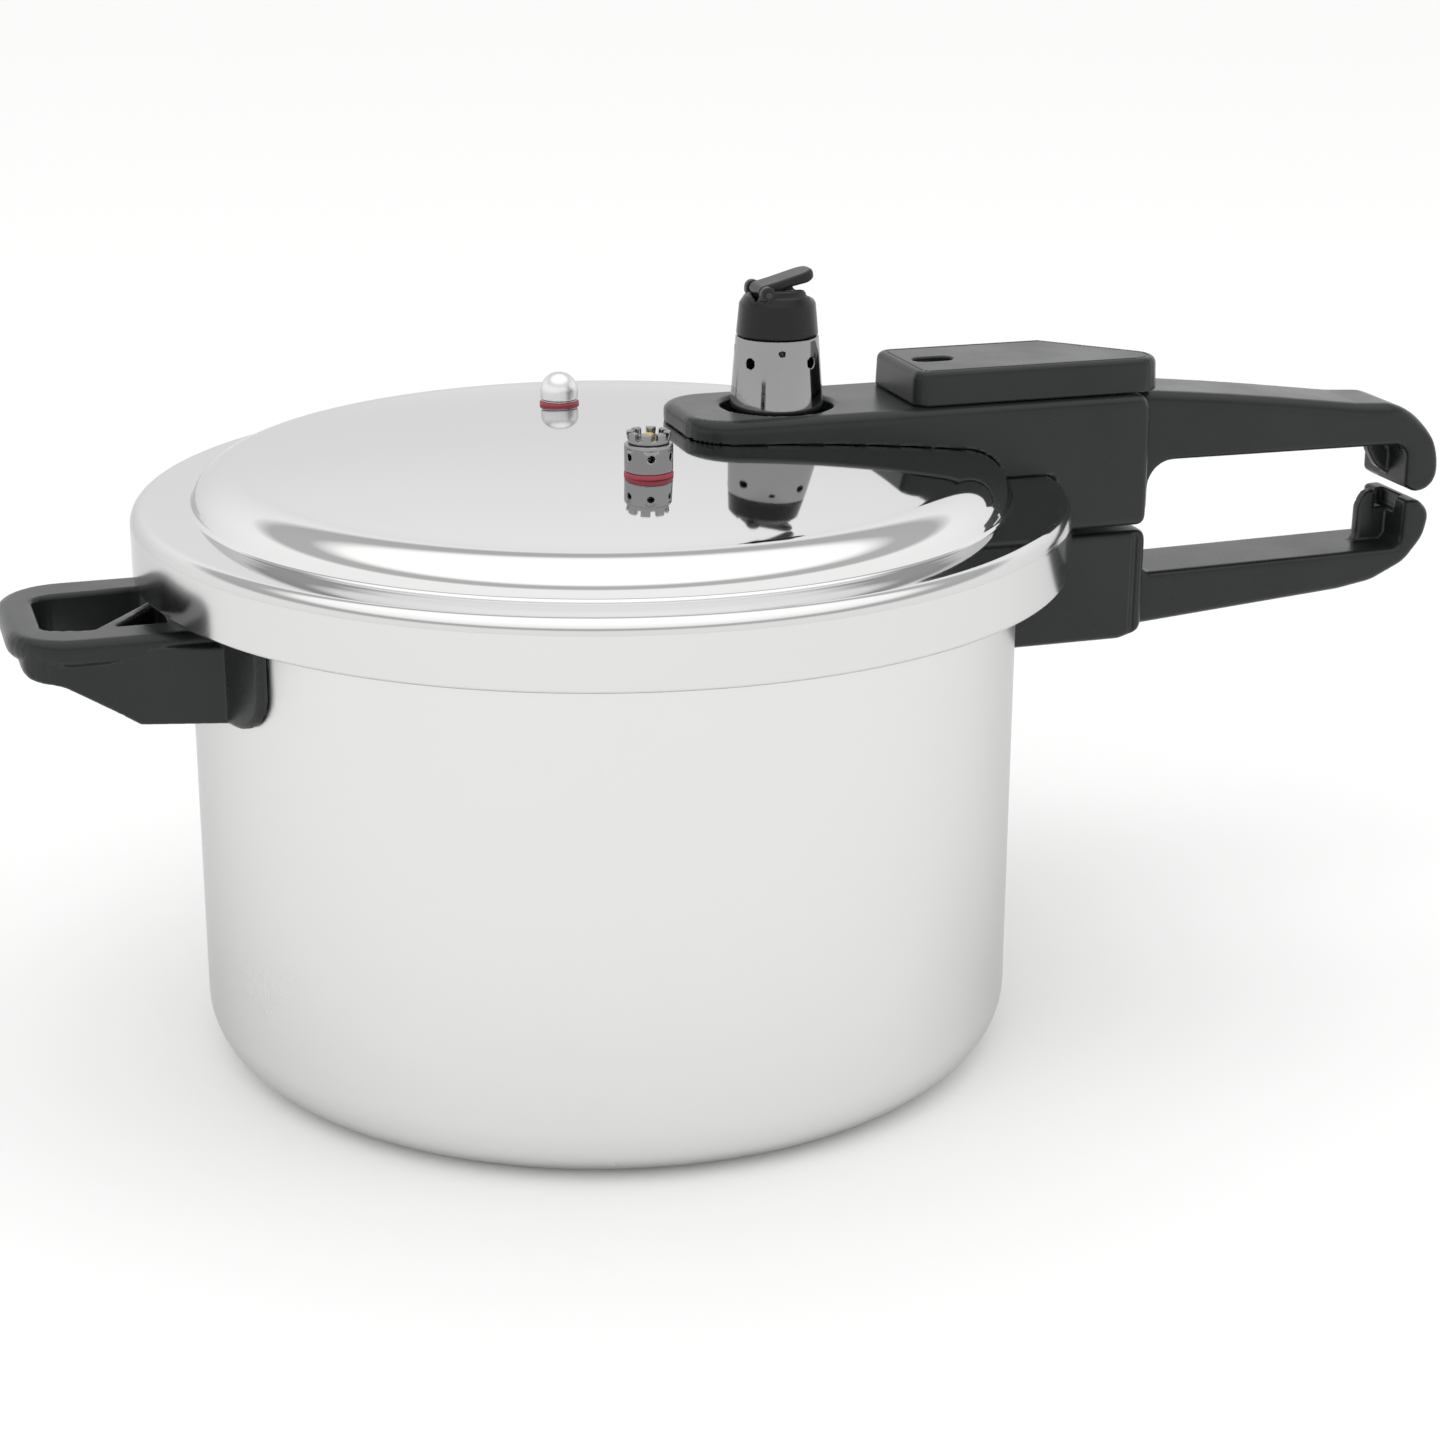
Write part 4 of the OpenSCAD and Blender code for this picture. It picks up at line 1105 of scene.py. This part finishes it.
def makeWeightTab():
    s = weightSizes
    tabX, tabZ = middleOf("weight_tab_pin")[0], middleOf("weight_tab_pin")[2]
    lean = math.radians(s["tabTilt"])
    long, half = s["tabLength"], s["tabHalf"] - 0.2
    plan = roundedLine([(-2.1, -half, 1.0), (long, -half, 4.6), (long, half, 4.6), (-2.1, half, 1.0)], closed=True)
    side = roundedLine([
        (-2.1, -2.0, 1.6), (3.5, -2.0, 2), (7, -0.6, 4), (long - 3.5, -1.0, 2), (long - 0.4, -0.6, 1.6),
        (long, 2.3, 1.7), (long - 4, 2.2, 2), (5, 2.1, 6), (-0.5, 2.2, 2), (-2.1, 0.9, 1.2)], closed=True, steps=5)

    def field(x, y, z):
        u = (x - tabX) * math.cos(lean) + (z - tabZ) * math.sin(lean)
        w = (z - tabZ) * math.cos(lean) - (x - tabX) * math.sin(lean)
        body = roundMeet(outlineField(u, w, side), outlineField(u, y, plan), 0.9)
        return roundCut(body, np.maximum(np.hypot(u, w) - 1.07, np.abs(y) - 30), 0.1)
    low, high = boxOf("weight_tab")
    tab = moulded("weightTab", field, [v - 1.5 for v in low], [v + 1.5 for v in high], 0.45, "capPlastic")
    place(tab, "weight_tab", "weight_tab", "black_plastic")


makeWeightBody()
makeWeightCap()
makeWeightTab()
print("weight made")


# ---- relief valve ----

reliefSizes = {"r": 6.9, "bodyH": 8.0, "ports": 6, "firstPort": 20.0, "portR": 1.0, "step": 0.36,
               "crownLowR": 5.8, "crownTopR": 6.4, "notches": 8, "notch": 0.9, "gasketR": 7.0}


def makeSeal(name, nodeName, outer, y):
    # a red ring whose edge shows under a fitting
    top = topOf(nodeName)
    low = top - 1.5
    seal = turned(name, roundedLine([(4, low, 0.2), (outer, low, 0.4), (outer, top, 0.5), (4, top, 0.2)],
                                    closed=True, steps=4), "redSilicone", (0, y), 64, closed=True)
    place(seal, "lid", nodeName, "red_silicone")


def makeRelief():
    s = reliefSizes
    low = topOf("relief_gasket")
    foot = footOf("relief_body")
    top = low + s["bodyH"]
    outline = roundedLine([
        (1.6, foot, 0), (4, foot, 0.4), (4, low, 0), (s["r"], low, 0.5), (s["r"], top, 0.6), (5, top, 0.2),
        (5, low + 1.2, 0.2), (1.6, low + 1.2, 0)], closed=True, steps=4)

    def bodyField(x, y, z):
        body = outlineField(np.hypot(x, y + reliefY), z, outline)
        out, aside = aroundAxis(x, y, 0, -reliefY, s["firstPort"], s["ports"])
        # a fine turned groove marks the level where the crown screws in
        body = roundCut(body, np.hypot(out - s["r"] - 0.1, z - top + 1.5) - 0.35, 0.1)
        return roundCut(body, np.maximum(np.hypot(aside, z - low - 4.6) - s["portR"], 4 - out), 0.2)
    body = moulded("reliefBody", bodyField, (-7, -reliefY - 7, foot), (7, -reliefY + 7, top),
                   s["step"], "chromePlate")
    place(body, "lid", "relief_body", "chrome")

    rim = topOf("relief_crown")
    crown = roundedLine([
        (1.7, top - 1, 0), (4.9, top - 1, 0), (4.9, top + 0.05, 0), (s["crownLowR"], top + 0.05, 0.3),
        (s["crownTopR"], rim, 0.5), (4.2, rim, 0.4), (4.0, top + 1.2, 0.4), (1.7, top + 1.2, 0)],
        closed=True, steps=4)

    def crownField(x, y, z):
        ring = outlineField(np.hypot(x, y + reliefY), z, crown)
        out, aside = aroundAxis(x, y, 0, -reliefY, 0, s["notches"])
        notch = np.maximum(np.maximum(np.abs(aside) - s["notch"], top + 1.3 - z), 2 - out)
        return roundCut(ring, notch, 0.25)
    ring = moulded("reliefCrown", crownField, (-6.6, -reliefY - 6.6, top - 1), (6.6, -reliefY + 6.6, rim),
                   s["step"], "chromePlate")
    place(ring, "lid", "relief_crown", "chrome")

    makeSeal("reliefGasket", "relief_gasket", s["gasketR"], -reliefY)

    discLow, tip = footOf("relief_plunger"), topOf("relief_plunger")
    plunger = turned("reliefPlunger", roundedLine([
        (0, discLow, 0), (4.2, discLow, 0.2), (4.2, discLow + 0.8, 0.2), (1.5, discLow + 0.8, 0.1),
        (1.5, tip, 0.6), (0, tip, 0)], steps=4), "yellowBrass", (0, -reliefY), 48)
    place(plunger, "relief_plunger", "relief_plunger", "brass")


makeRelief()


# ---- pressure indicator ----

indicatorSizes = {"domeR": 5.8, "wallH": 2.5, "gasketR": 6.1}


def makeIndicator():
    s = indicatorSizes
    low = topOf("indicator_gasket")
    foot = footOf("indicator_dome")
    base = low + 0.6
    outline = roundedLine([(0, foot, 0), (1.5, foot, 0.3), (1.5, base, 0), (s["domeR"], base, 0.5),
                           (s["domeR"], base + 2, 0)], steps=4)
    outline += arcOf(0, base + s["wallH"], s["domeR"], 0, 90, 16)
    dome = turned("indicatorDome", outline, "paleDome", (0, indicatorY), 72)
    place(dome, "indicator", "indicator_dome", "satin_metal")
    makeSeal("indicatorGasket", "indicator_gasket", s["gasketR"], indicatorY)
    stemLow = footOf("indicator_bush")
    bush = turned("indicatorBush", roundedLine([
        (1.6, stemLow, 0), (4, stemLow, 0.4), (4, low, 0), (5.6, low, 0.2), (5.6, low + 0.5, 0.2),
        (1.6, low + 0.5, 0.1)], closed=True, steps=3), "plainSteel", (0, indicatorY), 56, closed=True)
    place(bush, "lid", "indicator_bush", "steel")


makeIndicator()
print("valve and indicator made")


# ---- springs ----

# travel is how far the joint presses the spring; stays is the end that keeps its place, 0 the foot and 1 the top
springSizes = {
    "lockSpring": dict(node="lock_spring", joint="lock_bolt_drop", turns=7.0, wire=0.4, inner=3.4,
                       travel=6.0, stays=0),
    "reliefSpring": dict(node="relief_spring", joint="relief_lift", turns=5.0, wire=0.35, inner=1.95,
                         travel=1.5, stays=1),
}


def makeSpring(name, s):
    low, high = boxOf(s["node"])
    cx, cy = (low[0] + high[0]) / 2, (low[1] + high[1]) / 2
    wire, tall = s["wire"], high[2] - low[2]
    spring = growTree(newObject(name, bpy.data.meshes.new(name)), coilTree, Turns=s["turns"],
                      Radius=(s["inner"] + wire) / perMetre, Wire=wire / perMetre,
                      Height=(tall - 2 * wire) / perMetre, Finish=finishes["plainSteel"],
                      Foot=(cx / perMetre, cy / perMetre, (low[2] + wire) / perMetre))
    cleanShell(spring, 60)
    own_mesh(spring)
    place(spring, "lid", s["node"], "steel")


for name, sizes in springSizes.items():
    makeSpring(name, sizes)
print("springs made")


# ---- screws ----

screwSizes = {
    "handle": (4.5, 2.6, 2.5), "cover": (2.7, 1.9, 1.5),  # head radius, head height, shank radius
    "slot": 1.0, "slotDeep": 1.1, "coverAt": [(97.5, 13), (97.5, -13)],
    "potAt": [(137, 0), (149, 0)], "helperAt": [(-132, 25), (-132, -25)],
}


def screwSolid(name, headR, headH, r, length):
    # a pan head at the origin with its shank going up, its top face towards -Z
    outline = roundedLine([(0, 0, 0), (headR, 0, 1.1), (headR, headH, 0.3), (r, headH, 0.2),
                           (r, length - 0.6, 0.2), (r - 0.6, length, 0.1), (0, length, 0)], steps=4)
    screw = turned(name, outline, "plainSteel", segments=40)
    slot = bmesh.new()
    bmesh.ops.create_cube(slot, size=1)
    bmesh.ops.scale(slot, verts=slot.verts, vec=(headR * 2.4 / perMetre, screwSizes["slot"] / perMetre,
                                                 2 * screwSizes["slotDeep"] / perMetre))
    mesh = bpy.data.meshes.new("slotCutter")
    slot.to_mesh(mesh)
    slot.free()
    return cleanShell(cutWith(screw, newObject("slotCutter", mesh)))


def screwsAt(name, nodeName, points, screw, body):
    mesh = bpy.data.meshes.new(name)
    mesh.from_pydata([[v / perMetre for v in p] for p in points], [], [])
    made = growTree(newObject(name, mesh), screwTree, Screw=screw, Finish=finishes["plainSteel"])
    dropObject(screw)
    cleanShell(made)
    place(made, body, nodeName, "steel")


def makeScrews():
    s = screwSizes
    potLow, sideLow = footOf("handle_screws"), footOf("helper_handle") + 1
    screwsAt("handleScrews", "handle_screws",
             [(*p, potLow) for p in s["potAt"]] + [(*p, sideLow) for p in s["helperAt"]],
             screwSolid("handleScrew", *s["handle"], topOf("handle_screws") - sideLow), "pot")
    low, high = footOf("cover_screws"), topOf("cover_screws")
    screwsAt("coverScrews", "cover_screws", [(*p, low) for p in s["coverAt"]],
             screwSolid("coverScrew", *s["cover"], high - low), "lid")


makeScrews()
print("screws made")


# ---- carried-over parts ----
# their shape is right as it is, so they only take a finish

carried = {
    "plainSteel": ["pot_handle_bracket", "helper_bracket", "lock_bush", "lid_handle_screws", "vent_nut",
                   "vent_strainer", "lock_bolt", "relief_nut", "indicator_nut", "indicator_clip",
                   "weight_needle", "vent_pipe"],
    "greyRubber": ["lid_handle_washers", "vent_washer"],
    "slidePlastic": ["lock_slide"],
    "blackSteel": ["weight_tab_pin"],
}
for finish, names in carried.items():
    for name in names:
        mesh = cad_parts[name].data
        mesh.materials.clear()
        mesh.materials.append(finishes[finish])
print("carried over:", sum(len(names) for names in carried.values()), "nodes")
